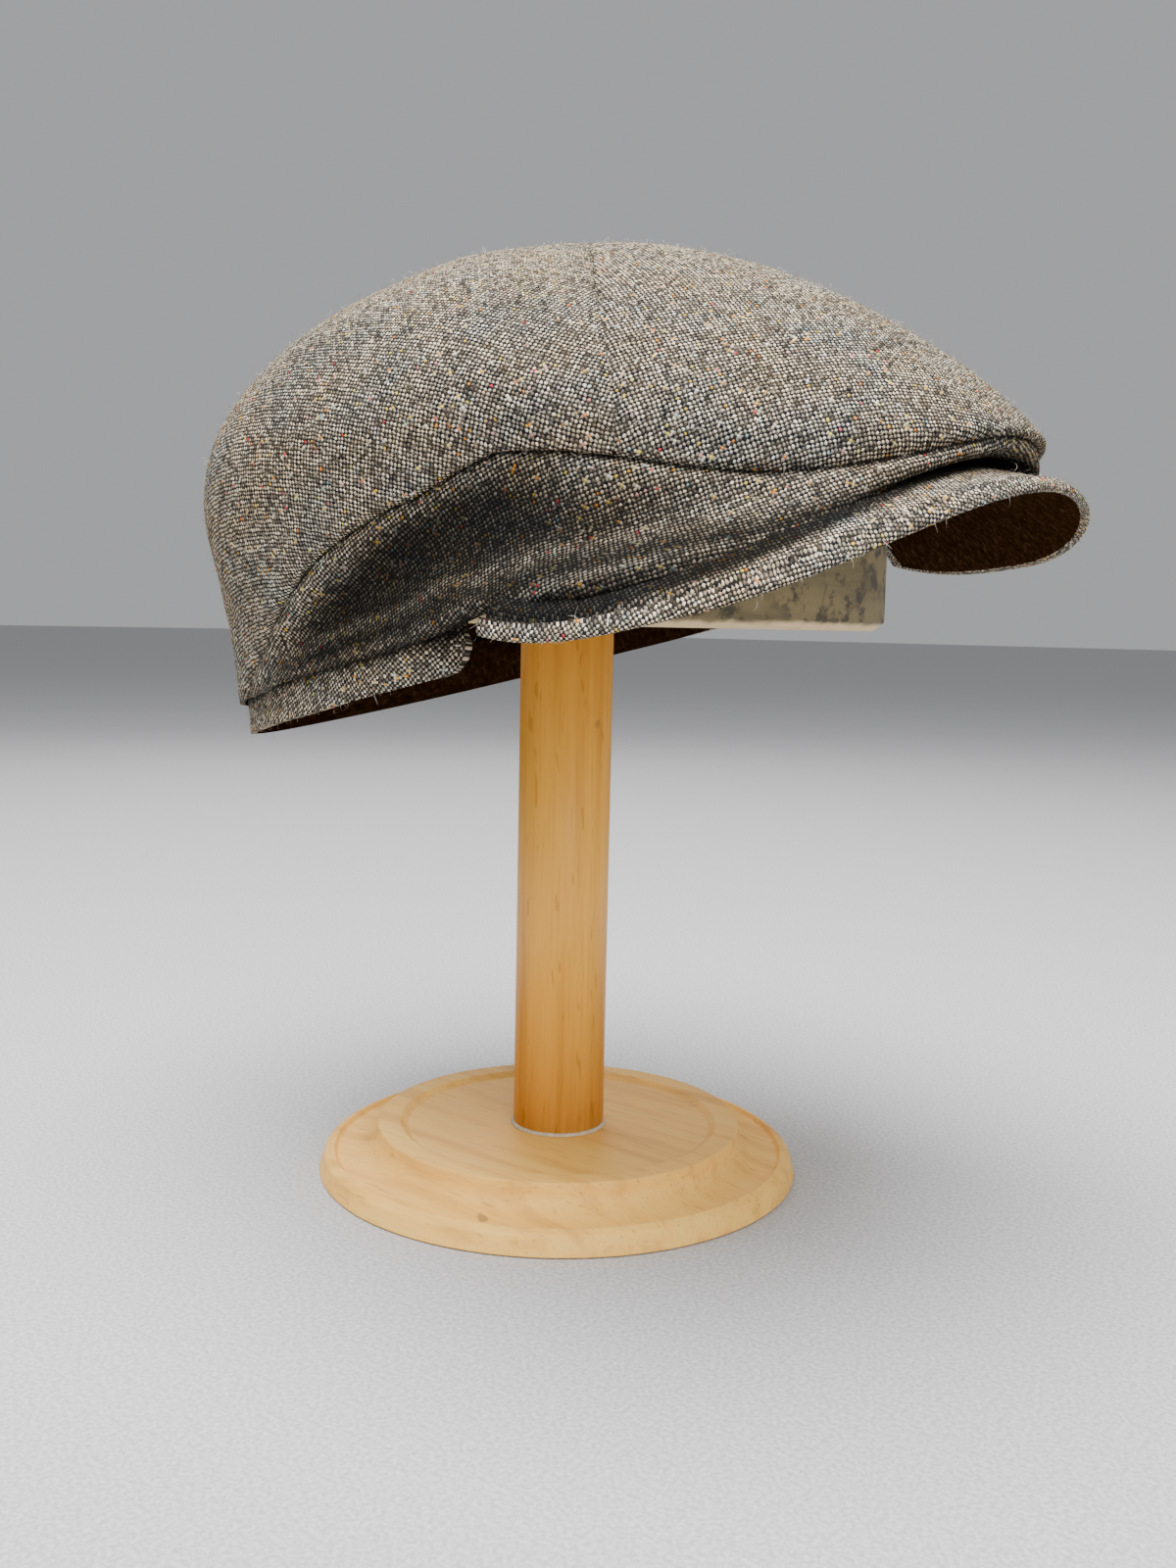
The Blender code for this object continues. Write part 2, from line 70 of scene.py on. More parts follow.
# Cap: peak
PEAK_CORNER_FORWARD = 60.0 * MM
PEAK_TIP_FORWARD = 149.0 * MM
PEAK_HALF_WIDTH = 97.0 * MM
PEAK_ARCH = 41.4 * MM
PEAK_DROP_SHARE = -0.48
PEAK_LIFT = 3.0 * MM
PEAK_BLUNTNESS = 0.86
PEAK_TWIST = -0.04
PEAK_CLEARANCE = 0.5 * MM
PEAK_CORNER_DROOP = 4.5 * MM
DROOP_FROM_MIDDLE = 65.0 * MM
DROOP_SPREAD = 30.0 * MM
DROOP_FORWARD = 45.0 * MM
FOOT_DIP = 4.0 * MM
FOOT_DIP_ANGLE = 86.0
FOOT_DIP_HALF_ANGLE = 8.0
PEAK_INSIDE_GAP = 7.5 * MM
PEAK_SHOWN_SIDE = 2.0 * MM
PEAK_SHOWN_FRONT = 15.0 * MM
PEAK_LEFT_AT_DEG = (70.0, 100.0)
PEAK_CLOTH_SLOPE = 1.1

# Cap: the peak's edge, with a rolled hem and a stitched groove
PEAK_EDGE_ROWS = (0.55, 0.75)
GROOVE_INWARD = 3.1 * MM
GROOVE_HALF_WIDTH = 0.75 * MM
GROOVE_DEPTH = 1.4 * MM
ROLL_INWARD = 1.4 * MM
ROLL_HALF_WIDTH = 1.2 * MM
ROLL_HEIGHT = 0.5 * MM
UNDER_CROWN_SHADE = 3.2 * MM

# Cap: cloth under the peak
LINING_THICKNESS = 0.7 * MM
LINING_GAP = 0.2 * MM
LINING_BULGE = 0.5 * MM
LINING_BACK_GAP = 0.4 * MM
LINING_SPREAD = 0.985
INSIDE_PEAK = Vector((90.0 * MM, 0.0, 160.0 * MM))

# Cap: ear flap
FLAP_END_FORWARD = 37.0 * MM
FLAP_SHOWN = 9.0 * MM
FLAP_TUCKED = 10.0 * MM
FLAP_END_ROUNDING = 8.0 * MM
FLAP_SWELL = 1.3 * MM
FLAP_DEPTH = 0.9 * MM
FLAP_CLOTH = 1.8 * MM
FLAP_SHADE = 1.9 * MM
FLAP_LINING_DEPTH = 3.0 * MM
FLAP_LINING_CLOTH = 1.2 * MM
FLAP_LINING_HEM = 1.4 * MM

# Sewn and turned edges of the cloth
# SEAM_SHADE_SHARE and DARK_TURN set the painted shade along seams and turned edges.
SEAM_SHADE_SHARE = 0.45
FIRST_TURN_WIDTH = 2.2 * MM
LAST_TURN_WIDTH = 2.0 * MM
DARK_TURN = 3.0 * MM
FREE_TURN = 0.3 * MM
PEAK_TURN = 1.9 * MM
INSIDE_CROWN = Vector((0.0, 0.0, 30.0 * MM))

# Loose fibres: points along one, and the range of each thing that varies
FIBRE_POINTS = 5
FIBRE_SCATTER = 0.5 * MM
FIBRE_LENGTH_SHARES = (0.35, 1.3)
FIBRE_LEANS = (0.10, 0.95)
FIBRE_HALF_WIDTHS_IN_MM = (0.030, 0.060)
FIBRE_BENDS = (-1.4, 1.4)

# How the cap sits on the stand
CAP_TILT_DEG = 13.1
CAP_ROLL_DEG = 7.0
CAP_SEAT = Vector((0.0, -7.0 * MM, 158.2 * MM))

# Stand
BASE_RADIUS = 70.5 * MM
BASE_HEIGHT = 13.2 * MM
BASE_BAND_HEIGHT = 5.0 * MM
BASE_DISC_RADIUS = 53.6 * MM
BASE_RECESS_RADIUS = 44.8 * MM
BASE_RECESS_DEPTH = 1.6 * MM
BASE_BEAD = 0.05 * BASE_RADIUS
BASE_STEP_SHARE = 0.38
POST_IN_FOOT = 2.0 * MM
POST_IN_BLOCK = 4.0 * MM
POST_RADIUS = 13.4 * MM
BLOCK_BOTTOM = 159.5 * MM
BLOCK_HALF_LENGTH = 91.0 * MM
BLOCK_HALF_WIDTH = 70.0 * MM
BLOCK_FORWARD = 7.0 * MM
BLOCK_LEFT = -7.0 * MM
BLOCK_DOME = 46.0 * MM
BLOCK_CHAMFER = 2.2 * MM
BLOCK_CHAMFER_SHARE = 0.965
BLOCK_WEAR = 0.25 * MM

# The dried glue's section: outwards from the post and up from the foot, in millimetres
GLUE_SECTION = ((-0.3, 0.0), (0.9, 0.1), (0.5, 0.7), (-0.3, 1.1), (-0.3, 0.0))

# Half of the crown, front to back
SECTIONS = (
    # angle, widest, cone, seam
    (0.0, 0.105, 1.72, 0.27),
    (20.0, 0.112, 1.66, 0.27),
    (40.0, 0.145, 1.45, 0.31),
    (60.0, 0.250, 1.20, 0.35),
    (75.0, 0.350, 1.08, 0.31),
    (90.0, 0.420, 1.00, 0.26),
    (112.0, 0.420, 0.92, 0.10),
    (130.0, 0.410, 0.86, -0.06),
    (145.0, 0.400, 0.82, -0.20),
    (180.0, 0.390, 0.82, -0.40),
)

# Folds of the cloth, broad ones first and then the fine wrinkles beside them
FOLDS = (
    # angle, rise, half angle, half rise, slant, depth as a share of the rim's half width
    (-86.0, 0.17, 22.0, 0.075, 0.0060, 0.075),
    (-62.0, 0.20, 20.0, 0.090, 0.0020, 0.050),
    (-100.0, 0.06, 18.0, 0.045, 0.0060, -0.030),
    (88.0, 0.18, 24.0, 0.080, -0.0055, 0.070),
    (60.0, 0.20, 20.0, 0.090, -0.0020, 0.045),
    (102.0, 0.06, 18.0, 0.045, -0.0060, -0.028),
    (-118.0, 0.22, 9.0, 0.050, -0.0100, 0.012),
    (-96.0, 0.26, 10.0, 0.020, 0.0080, -0.010),
    (-74.0, 0.08, 10.0, 0.025, 0.0050, -0.012),
    (-140.0, 0.16, 12.0, 0.040, 0.0060, 0.010),
    (150.0, 0.18, 14.0, 0.040, -0.0050, 0.012),
    (120.0, 0.22, 10.0, 0.045, 0.0080, 0.012),
    (178.0, 0.12, 10.0, 0.035, 0.0040, 0.010),
    (-30.0, 0.62, 16.0, 0.060, 0.0030, 0.006),
    (-100.0, 0.60, 20.0, 0.060, -0.0020, 0.007),
    (30.0, 0.58, 18.0, 0.070, -0.0030, 0.006),
)

# The photographer's place and framing, relative to the middle of the stand's foot
CAMERA_PLACE = Vector((275.5 * MM, -327.0 * MM, 159.3 * MM))
CAMERA_YAW_DEG = 39.2
CAMERA_PITCH_DEG = 6.12
CAMERA_ROLL_DEG = 1.19
CAMERA_LENS = 33.75
SENSOR_WIDTH = 36.0

FLOOR_SIZE = 40.0
FLOOR_DROP = 0.3 * MM
WORLD_COLOR = (0.90, 0.91, 0.93, 1.0)
WORLD_STRENGTH = 0.45
LIGHTS = (
    # name, place, aim, size, power
    ("key", (0.10, -0.22, 1.30), (0.02, 0.0, 0.20), 1.0, 50.0),
    ("side", (1.10, -0.75, 0.60), (0.0, 0.0, 0.10), 1.0, 11.0),
    ("back", (-0.90, 0.75, 0.95), (0.0, 0.0, 0.18), 0.8, 5.0),
)


def smooth(share):
    share = min(max(share, 0.0), 1.0)
    return share * share * (3.0 - 2.0 * share)


def turned_angle(angle):
    return (angle + 180.0) % 360.0 - 180.0


def section_value(column, angle):
    """A column of SECTIONS at an angle in degrees, either side, smoothly between rows."""
    angles = [row[0] for row in SECTIONS]
    values = [row[column] for row in SECTIONS]
    at = abs(turned_angle(angle))
    i = min(sum(1 for a in angles[1:] if a <= at), len(angles) - 2)
    span = angles[i + 1] - angles[i]
    t = (at - angles[i]) / span
    before = values[i - 1] if i > 0 else values[1]
    after = values[i + 2] if i + 2 < len(values) else values[-2]
    before_span = angles[i] - angles[i - 1] if i > 0 else angles[1] - angles[0]
    after_span = angles[i + 2] - angles[i + 1] if i + 2 < len(values) else span
    slope_in = (values[i + 1] - before) / (span + before_span)
    slope_out = (after - values[i]) / (span + after_span)
    t2, t3 = t * t, t * t * t
    start = (2 * t3 - 3 * t2 + 1) * values[i] + (t3 - 2 * t2 + t) * span * slope_in
    return start + (3 * t2 - 2 * t3) * values[i + 1] + (t3 - t2) * span * slope_out


def peak_height(forward, left):
    arch = PEAK_ARCH * (1.0 - (left / PEAK_HALF_WIDTH) ** 2)
    run = forward - PEAK_CORNER_FORWARD
    twist = PEAK_TWIST * left * run / (PEAK_TIP_FORWARD - PEAK_CORNER_FORWARD)
    droop = smooth((abs(left) - DROOP_FROM_MIDDLE) / DROOP_SPREAD) * smooth(1.0 - run / DROOP_FORWARD)
    return PEAK_LIFT + arch + PEAK_DROP_SHARE * run + twist - PEAK_CORNER_DROOP * droop


def peak_outline(s, inset):
    a = s * math.pi / 2.0
    length = PEAK_TIP_FORWARD - PEAK_CORNER_FORWARD - inset
    forward = PEAK_CORNER_FORWARD + length * max(math.cos(a), 0.0) ** PEAK_BLUNTNESS
    return forward, (PEAK_HALF_WIDTH - inset) * math.sin(a)


def on_peak(angle):
    """How fully the crown rests on the peak: 1 in front, easing to 0 behind the peak's corners."""
    full, none = PEAK_LEFT_AT_DEG
    return smooth((none - abs(angle)) / (none - full))


def above_peak(forward, left, angle):
    return max(peak_height(max(forward, PEAK_CORNER_FORWARD), left), 0.0) * on_peak(angle)


def crown_foot(angle):
    """The crown's lower edge: a line on the peak in front, the head opening's oval behind."""
    a = math.radians(angle)
    forward, left = RIM_HALF_LENGTH * math.cos(a), RIM_HALF_WIDTH * math.sin(a)
    share = on_peak(angle)
    if share > 0.0:
        u = min(abs(angle) / 90.0, 1.0)
        shown = PEAK_SHOWN_FRONT + (PEAK_SHOWN_SIDE - PEAK_SHOWN_FRONT) * u
        crease = peak_outline(math.copysign(1.25 * u - 0.25 * u**3, angle), shown)
        forward += (crease[0] - forward) * share
        left += (crease[1] - left) * share
    lift = above_peak(forward, left, angle) + PEAK_CLEARANCE * share
    dip = FOOT_DIP * math.exp(-(((abs(angle) - FOOT_DIP_ANGLE) / FOOT_DIP_HALF_ANGLE) ** 2))
    return Vector((forward, left, lift - dip))


def fold_depth(angle, rise):
    total = 0.0
    for centre, height, half_angle, half_rise, slant, share in FOLDS:
        along = turned_angle(angle - centre)
        across = rise - height - slant * along
        total += share * math.exp(-((along / half_angle) ** 2) - (across / half_rise) ** 2)
    return total * RIM_HALF_WIDTH


def crown_plain(angle, rise):
    """A point of the crown before its folds. Rise runs from 0 at the rim to 1 at the apex."""
    angle = turned_angle(angle)
    a = math.radians(angle)
    reach = REACH_FRONT if math.cos(a) > 0.0 else REACH_BACK
    wide = Vector((APEX_FORWARD + reach * math.cos(a), APEX_LEFT + REACH_SIDE * math.sin(a), 0.0))
    rim = crown_foot(angle)
    wide.z = above_peak(wide.x, wide.y, angle) + APEX_HEIGHT * section_value(1, angle)
    if rise < BULGE_RISE:
        t = rise / BULGE_RISE
        out = math.sin(t * math.pi / 2.0)
        up = t + (1.0 - math.cos(t * math.pi / 2.0) - t) * 0.5
        forward, left = rim.x + (wide.x - rim.x) * out, rim.y + (wide.y - rim.y) * out
        return Vector((forward, left, rim.z + (wide.z - rim.z) * up))
    theta = (1.0 - rise) / (1.0 - BULGE_RISE) * math.pi / 2.0
    out = math.sin(theta)
    up = math.cos(theta) ** section_value(2, angle)
    forward = APEX_FORWARD + (wide.x - APEX_FORWARD) * out
    return Vector((forward, APEX_LEFT + (wide.y - APEX_LEFT) * out, wide.z + (APEX_HEIGHT - wide.z) * up))


def from_plan(p, q):
    return math.degrees(math.atan2(q, p)), 1.0 - math.hypot(p, q)


def crown_normal(angle, rise):
    step = 0.004
    radius = 1.0 - rise
    p, q = radius * math.cos(math.radians(angle)), radius * math.sin(math.radians(angle))
    if radius + step > 1.0:
        p, q = p * (1.0 - step), q * (1.0 - step)
    across = [crown_plain(*from_plan(p, q + d)) for d in (-step / 2, step / 2)]
    along = [crown_plain(*from_plan(p + d, q)) for d in (-step / 2, step / 2)]
    return (along[1] - along[0]).cross(across[1] - across[0]).normalized()


def crown_point(angle, rise, inset=0.0):
    return crown_plain(angle, rise) - crown_normal(angle, rise) * (fold_depth(angle, rise) + inset)


def seam_rise(angle):
    return section_value(3, angle)


def seam_strength(angle):
    """How deep the side seam is drawn in: fully in front, less behind the ear."""
    return 1.0 - 0.5 * smooth((abs(turned_angle(angle)) - 85.0) / 25.0)


def place(point):
    """From the cap's own frame to its seat on the stand."""
    moved = point.copy()
    moved.rotate(Euler((math.radians(CAP_ROLL_DEG), -math.radians(CAP_TILT_DEG), 0.0), "XYZ"))
    return moved + CAP_SEAT


def length_setting(name, default, low, high):
    return FloatProperty(name=name, default=default, min=low, max=high, unit="LENGTH")


def color_setting(name, default):
    return FloatVectorProperty(name=name, subtype="COLOR", default=default, min=0.0, max=1.0)


class FlatCapSettings(bpy.types.PropertyGroup):
    cloth: length_setting("Cloth", 1.6 * MM, 0.5 * MM, 3.0 * MM)
    yarn_pitch: length_setting("Yarn pitch", 0.72 * MM, 0.5 * MM, 4.0 * MM)
    seam_depth: length_setting("Seam depth", 1.5 * MM, 0.0, 3.0 * MM)
    seam_width: length_setting("Seam width", 1.7 * MM, 0.3 * MM, 6.0 * MM)
    peak_board: length_setting("Peak board", 3.0 * MM, 1.0 * MM, 6.0 * MM)
    peak_hem: length_setting("Peak hem", 2.4 * MM, 1.0 * MM, 12.0 * MM)
    fibre_count: IntProperty(name="Fibres", default=14000, min=0, max=30000)
    fibre_length: length_setting("Fibre length", 2.7 * MM, 0.5 * MM, 12.0 * MM)
    seed: IntProperty(name="Seed", default=7)
    yarn_light: color_setting("Light yarn", (0.72, 0.64, 0.50))
    yarn_grey: color_setting("Grey yarn", (0.20, 0.165, 0.125))
    yarn_dark: color_setting("Dark yarn", (0.009, 0.010, 0.015))
    yarn_brown: color_setting("Brown yarn", (0.046, 0.040, 0.031))
    lining: color_setting("Lining", (0.020, 0.0085, 0.0025))
    beech_gold: color_setting("Golden beech", (0.76, 0.37, 0.05))
    beech_pale: color_setting("Pale beech", (1.0, 0.57, 0.13))
    # Partly painted shade: darker than the wood itself, as the block sits in the cap's shade.
    old_wood_and_painted_shade: color_setting("Old wood", (0.15, 0.115, 0.052))


class Nodes:
    """Short ways to add and join the nodes of one material."""

    def __init__(self, name):
        self.material = bpy.data.materials.new(name)
        self.material.use_nodes = True
        self.tree = self.material.node_tree
        self.shader = self.tree.nodes["Principled BSDF"]

    def add(self, kind, inputs=(), **settings):
        made = self.tree.nodes.new(kind)
        for key, value in settings.items():
            setattr(made, key, value)
        for slot, value in dict(inputs).items():
            self.feed(made.inputs[slot], value)
        return made

    def feed(self, socket, value):
        if isinstance(value, bpy.types.NodeSocket):
            self.tree.links.new(value, socket)
        elif isinstance(value, (tuple, list)) and socket.type == "RGBA" and len(value) == 3:
            socket.default_value = (*value, 1.0)
        else:
            socket.default_value = value

    def math(self, operation, a, b=0.0, clamp=False):
        made = self.add("ShaderNodeMath", {0: a, 1: b}, operation=operation, use_clamp=clamp)
        return made.outputs[0]

    def vector(self, operation, a, b):
        slot = "Scale" if operation == "SCALE" else 1
        return self.add("ShaderNodeVectorMath", {0: a, slot: b}, operation=operation).outputs[0]

    def pair(self, u, v):
        return self.add("ShaderNodeCombineXYZ", {0: u, 1: v}).outputs[0]

    def even(self, value):
        """A colour with the same red, green and blue."""
        return self.add("ShaderNodeCombineColor", {0: value, 1: value, 2: value}).outputs[0]

    def stretched(self, at, scale, turn=(0.0, 0.0, 0.0)):
        return self.add("ShaderNodeMapping", {"Vector": at, "Rotation": turn, "Scale": scale}).outputs[0]

    def plus(self, a, b):
        return self.math("ADD", a, b)

    def minus(self, a, b):
        return self.math("SUBTRACT", a, b)

    def times(self, a, b, clamp=False):
        return self.math("MULTIPLY", a, b, clamp)

    def mix(self, share, a, b, blend="MIX"):
        made = self.add("ShaderNodeMix", data_type="RGBA", blend_type=blend)
        for slot, value in ((0, share), (6, a), (7, b)):
            self.feed(made.inputs[slot], value)
        return made.outputs[2]

    def pick(self, share, a, b):
        made = self.add("ShaderNodeMix", {0: share, 2: a, 3: b}, data_type="FLOAT")
        return made.outputs[0]

    def noise(self, vector, scale, detail=2.0, roughness=0.5):
        given = {"Vector": vector, "Scale": scale, "Detail": detail, "Roughness": roughness}
        return self.add("ShaderNodeTexNoise", given).outputs["Fac"]

    def ramp(self, share, *stops):
        made = self.add("ShaderNodeValToRGB", {0: share})
        line = made.color_ramp.elements
        while len(line) < len(stops):
            line.new(0.5)
        for stop, (at, color) in zip(line, stops):
            stop.position = at
            stop.color = (*color, 1.0)
        return made.outputs[0]

    def step(self, value, low, high):
        given = {0: value, 1: low, 2: high, 3: 0.0, 4: 1.0}
        return self.add("ShaderNodeMapRange", given, interpolation_type="SMOOTHSTEP").outputs[0]

    def finish(self, color, roughness, height=None, distance=0.0, strength=1.0, **fixed):
        self.feed(self.shader.inputs["Base Color"], color)
        self.feed(self.shader.inputs["Roughness"], roughness)
        for key, value in fixed.items():
            self.feed(self.shader.inputs[key.replace("_", " ")], value)
        if height is not None:
            given = {"Height": height, "Distance": distance, "Strength": strength}
            self.feed(self.shader.inputs["Normal"], self.add("ShaderNodeBump", given).outputs[0])
        return self.material


def shaded(color, red, green, blue):
    """The colour with each channel multiplied, and none above 1."""
    return tuple(min(c * share, 1.0) for c, share in zip(color, (red, green, blue)))


def tweed(settings):
    """Plain weave of light flecked yarn over dark yarn, drawn thread by thread from UVs in metres."""
    n = Nodes("tweed_weave")
    uv = n.add("ShaderNodeUVMap", uv_map="weave").outputs[0]
    wander = n.add("ShaderNodeTexNoise", {"Vector": uv, "Scale": 420.0, "Detail": 3.0}).outputs["Color"]
    middle = n.vector("SUBTRACT", wander, (0.5, 0.5, 0.5))
    shift = n.vector("SCALE", middle, 0.0013)
    moved = n.vector("ADD", uv, shift)
    counted = n.vector("SCALE", moved, 1.0 / settings.yarn_pitch)
    split = n.add("ShaderNodeSeparateXYZ", {0: counted}).outputs
    thread_u, thread_v = n.math("FLOOR", split[0]), n.math("FLOOR", split[1])
    side_u = n.minus(n.math("FRACT", split[0]), 0.5)
    side_v = n.minus(n.math("FRACT", split[1]), 0.5)
    over = n.math("FLOORED_MODULO", n.plus(thread_u, thread_v), 2.0)
    across, along = n.pick(over, side_u, side_v), n.pick(over, side_v, side_u)
    round_across = n.minus(1.0, n.times(n.times(across, across), 3.7))
    round_along = n.minus(1.0, n.times(n.times(along, along), 2.6))
    hill = n.times(round_across, round_along, clamp=True)

    cell = n.pair(thread_u, thread_v)
    chance = n.add("ShaderNodeTexWhiteNoise", {"Vector": cell}, noise_dimensions="2D")
    other = n.vector("ADD", cell, (31.7, 11.3, 0.0))
    second = n.add("ShaderNodeTexWhiteNoise", {"Vector": other}, noise_dimensions="2D")
    warp_at = n.pair(n.times(thread_u, 3.71), n.times(split[1], 0.11))
    weft_at = n.pair(n.times(split[0], 0.11), n.times(thread_v, 4.13))
    warp = n.noise(warp_at, 1.0, 2.0)
    weft = n.noise(weft_at, 1.0, 2.0)
    light, grey = tuple(settings.yarn_light), tuple(settings.yarn_grey)
    dark, brown = tuple(settings.yarn_dark), tuple(settings.yarn_brown)
    warp_color = n.ramp(
        warp,
        (0.30, grey),
        (0.45, shaded(light, 0.72, 0.70, 0.68)),
        (0.56, light),
        (0.66, (0.50, 0.36, 0.27)),
        (0.74, (0.42, 0.45, 0.46)),
    )
    weft_color = n.ramp(weft, (0.40, dark), (0.52, brown), (0.60, dark), (0.76, (0.13, 0.105, 0.08)))
    lighter = n.plus(0.22, n.times(chance.outputs[0], 1.35))
    warp_color = n.mix(1.0, warp_color, n.even(lighter), "MULTIPLY")
    color = n.mix(over, warp_color, weft_color)

    nep_color = n.ramp(
        second.outputs[0],
        (0.0, (0.70, 0.20, 0.05)),
        (0.24, (0.75, 0.42, 0.05)),
        (0.46, (0.80, 0.66, 0.12)),
        (0.62, (0.24, 0.42, 0.46)),
        (0.80, (0.85, 0.83, 0.78)),
        (0.95, (0.62, 0.05, 0.06)),
    )
    nep = n.step(chance.outputs[0], 0.970, 0.974)
    slub = n.step(n.noise(warp_at, 2.3, 1.0), 0.735, 0.75)
    slub_color = n.ramp(
        n.noise(warp_at, 0.6, 0.0),
        (0.38, (0.55, 0.22, 0.07)),
        (0.50, (0.62, 0.50, 0.28)),
        (0.62, (0.34, 0.42, 0.44)),
    )
    color = n.mix(n.times(slub, 0.55), color, slub_color)
    color = n.mix(nep, color, nep_color)
    # Painted shade in the gaps between the threads, where each thread's bump falls away.
    pit = n.step(hill, 0.06, 0.52)
    color = n.mix(n.minus(1.0, pit), color, (0.010, 0.010, 0.013))

    hair_at = n.vector("MULTIPLY", moved, (2900.0, 1300.0, 1.0))
    hair = n.step(n.noise(hair_at, 1.0, 3.0, 0.65), 0.58, 0.80)
    color = n.mix(n.times(hair, 0.30), color, (0.50, 0.46, 0.40))
    cloud = n.noise(uv, 34.0, 3.0)
    shade = n.plus(0.78, n.times(cloud, 0.44))
    color = n.mix(1.0, color, n.even(shade), "MULTIPLY")
    # Painted shade: the crease attribute darkens the cloth along seams, turned edges, folds, the peak's
    # groove and under the crown's edge.
    wear_and_painted_shade = n.add("ShaderNodeAttribute", attribute_name="crease").outputs["Fac"]
    color = n.mix(n.times(wear_and_painted_shade, 0.95, clamp=True), color, (0.004, 0.004, 0.004))
    tone = n.ramp(
        n.noise(uv, 46.0, 4.0, 0.6),
        (0.36, (0.82, 0.88, 0.92)),
        (0.50, (1.0, 0.97, 0.92)),
        (0.64, (1.0, 0.92, 0.79)),
    )
    color = n.mix(1.0, color, tone, "MULTIPLY")
    height = n.plus(n.times(hill, 0.75), n.times(hair, 0.25))
    return n.finish(color, 0.92, height, 0.0004, 0.9, Specular_IOR_Level=0.05)


def lining_cloth(settings):
    """Brushed dark brown cloth with a slanting nap."""
    n = Nodes("brown_cloth")
    at = n.add("ShaderNodeTexCoord").outputs["Object"]
    nap = n.noise(n.stretched(at, (900.0, 230.0, 500.0), (0.3, 0.2, 0.9)), 1.0, 4.0, 0.7)
    fluff = n.noise(at, 1500.0, 3.0, 0.7)
    base = tuple(settings.lining)
    dark = shaded(base, 0.35, 0.35, 0.35)
    pale = (base[0] * 2.4 + 0.01, base[1] * 2.4 + 0.012, base[2] * 2.6 + 0.012)
    color = n.ramp(nap, (0.30, dark), (0.52, base), (0.78, pale))
    color = n.mix(n.times(n.step(fluff, 0.62, 0.78), 0.35), color, (0.085, 0.055, 0.034))
    height = n.plus(n.times(nap, 0.6), n.times(fluff, 0.4))
    return n.finish(color, 0.95, height, 0.0006, 0.8, Specular_IOR_Level=0.0)


def beech(name, tint, grain, flecks, gloss):
    """Straight-grained beech: soft bands, fine streaks and short darker flecks along the grain."""
    n = Nodes(name)
    at = n.add("ShaderNodeTexCoord").outputs["Object"]
    along = n.stretched(at, grain)
    broad = n.noise(along, 1.0, 4.0, 0.55)
    fine = n.noise(along, 7.0, 3.0, 0.6)
    color = n.ramp(
        broad,
        (0.30, shaded(tint, 0.78, 0.70, 0.62)),
        (0.50, tuple(tint)),
        (0.70, shaded(tint, 1.10, 1.12, 1.18)),
    )
    streak = n.step(fine, 0.50, 0.72)
    color = n.mix(n.times(streak, 0.28), color, shaded(tint, 0.62, 0.52, 0.42))
    dash = n.step(n.noise(n.stretched(at, flecks), 1.0, 1.0), 0.66, 0.74)
    color = n.mix(n.times(dash, 0.42), color, shaded(tint, 0.50, 0.38, 0.26))
    knot = n.step(n.noise(at, 95.0, 1.0), 0.765, 0.80)
    color = n.mix(n.times(knot, 0.6), color, (0.20, 0.12, 0.06))
    height = n.plus(n.times(fine, 0.5), n.times(dash, -0.6))
    shine = n.plus(gloss, n.times(fine, 0.15))
    return n.finish(color, shine, height, 0.00012, 0.5, Specular_IOR_Level=0.3)


def old_wood_and_painted_shade(settings):
    """Bare old wood gone cream and green, with dark stains and a pale worn edge. Its base colour is partly
    painted shade, darker than the wood because the block sits under the cap.
    """
    n = Nodes("old_block_wood_and_painted_shade")
    at = n.add("ShaderNodeTexCoord").outputs["Object"]
    broad = n.noise(n.stretched(at, (22.0, 22.0, 150.0)), 1.0, 5.0, 0.6)
    # The tint is partly painted shade from the cap above the block.
    tint = tuple(settings.old_wood_and_painted_shade)
    color = n.ramp(
        broad,
        (0.30, shaded(tint, 0.55, 0.52, 0.45)),
        (0.50, tint),
        (0.72, shaded(tint, 1.25, 1.22, 1.15)),
    )
    stain = n.step(n.noise(at, 150.0, 6.0, 0.72), 0.50, 0.60)
    patch = n.step(n.noise(at, 40.0, 3.0, 0.6), 0.34, 0.50)
    color = n.mix(n.times(n.times(stain, patch), 0.92), color, (0.035, 0.027, 0.015))
    crack = n.step(n.noise(n.stretched(at, (260.0, 260.0, 90.0)), 1.0, 3.0), 0.66, 0.72)
    color = n.mix(n.times(crack, 0.5), color, (0.07, 0.055, 0.035))
    height = n.add("ShaderNodeSeparateXYZ", {0: at}).outputs[2]
    ragged = n.plus(height, n.times(n.noise(at, 190.0, 3.0), 0.0022))
    edge = n.minus(1.0, n.step(ragged, BLOCK_BOTTOM + 0.0021, BLOCK_BOTTOM + 0.0034))
    color = n.mix(n.times(edge, 0.8), color, (0.66, 0.50, 0.28))
    worn_away = n.plus(crack, n.times(stain, 0.4))
    bump = n.minus(n.times(broad, 0.5), worn_away)
    return n.finish(color, 0.78, bump, 0.0004, 0.6)


def wool():
    """Loose fibres: pale where the light reaches, darkened by painted shade down in the creases."""
    n = Nodes("wool_fibre")
    at = n.add("ShaderNodeTexCoord").outputs["Object"]
    color = n.ramp(
        n.noise(at, 700.0, 2.0),
        (0.38, (0.16, 0.13, 0.10)),
        (0.52, (0.40, 0.35, 0.28)),
        (0.66, (0.62, 0.57, 0.48)),
    )
    wear_and_painted_shade = n.add("ShaderNodeAttribute", attribute_name="crease").outputs["Fac"]
    return n.finish(n.mix(wear_and_painted_shade, color, (0.012, 0.011, 0.009)), 0.8)


def plain_finish(name, color, roughness, bump=0.0):
    n = Nodes(name)
    at = n.add("ShaderNodeTexCoord").outputs["Object"]
    cloud = n.noise(at, 900.0, 3.0)
    dark = shaded(color, 0.7, 0.7, 0.7)
    return n.finish(n.ramp(cloud, (0.35, dark), (0.65, color)), roughness, cloud, bump, 0.5)


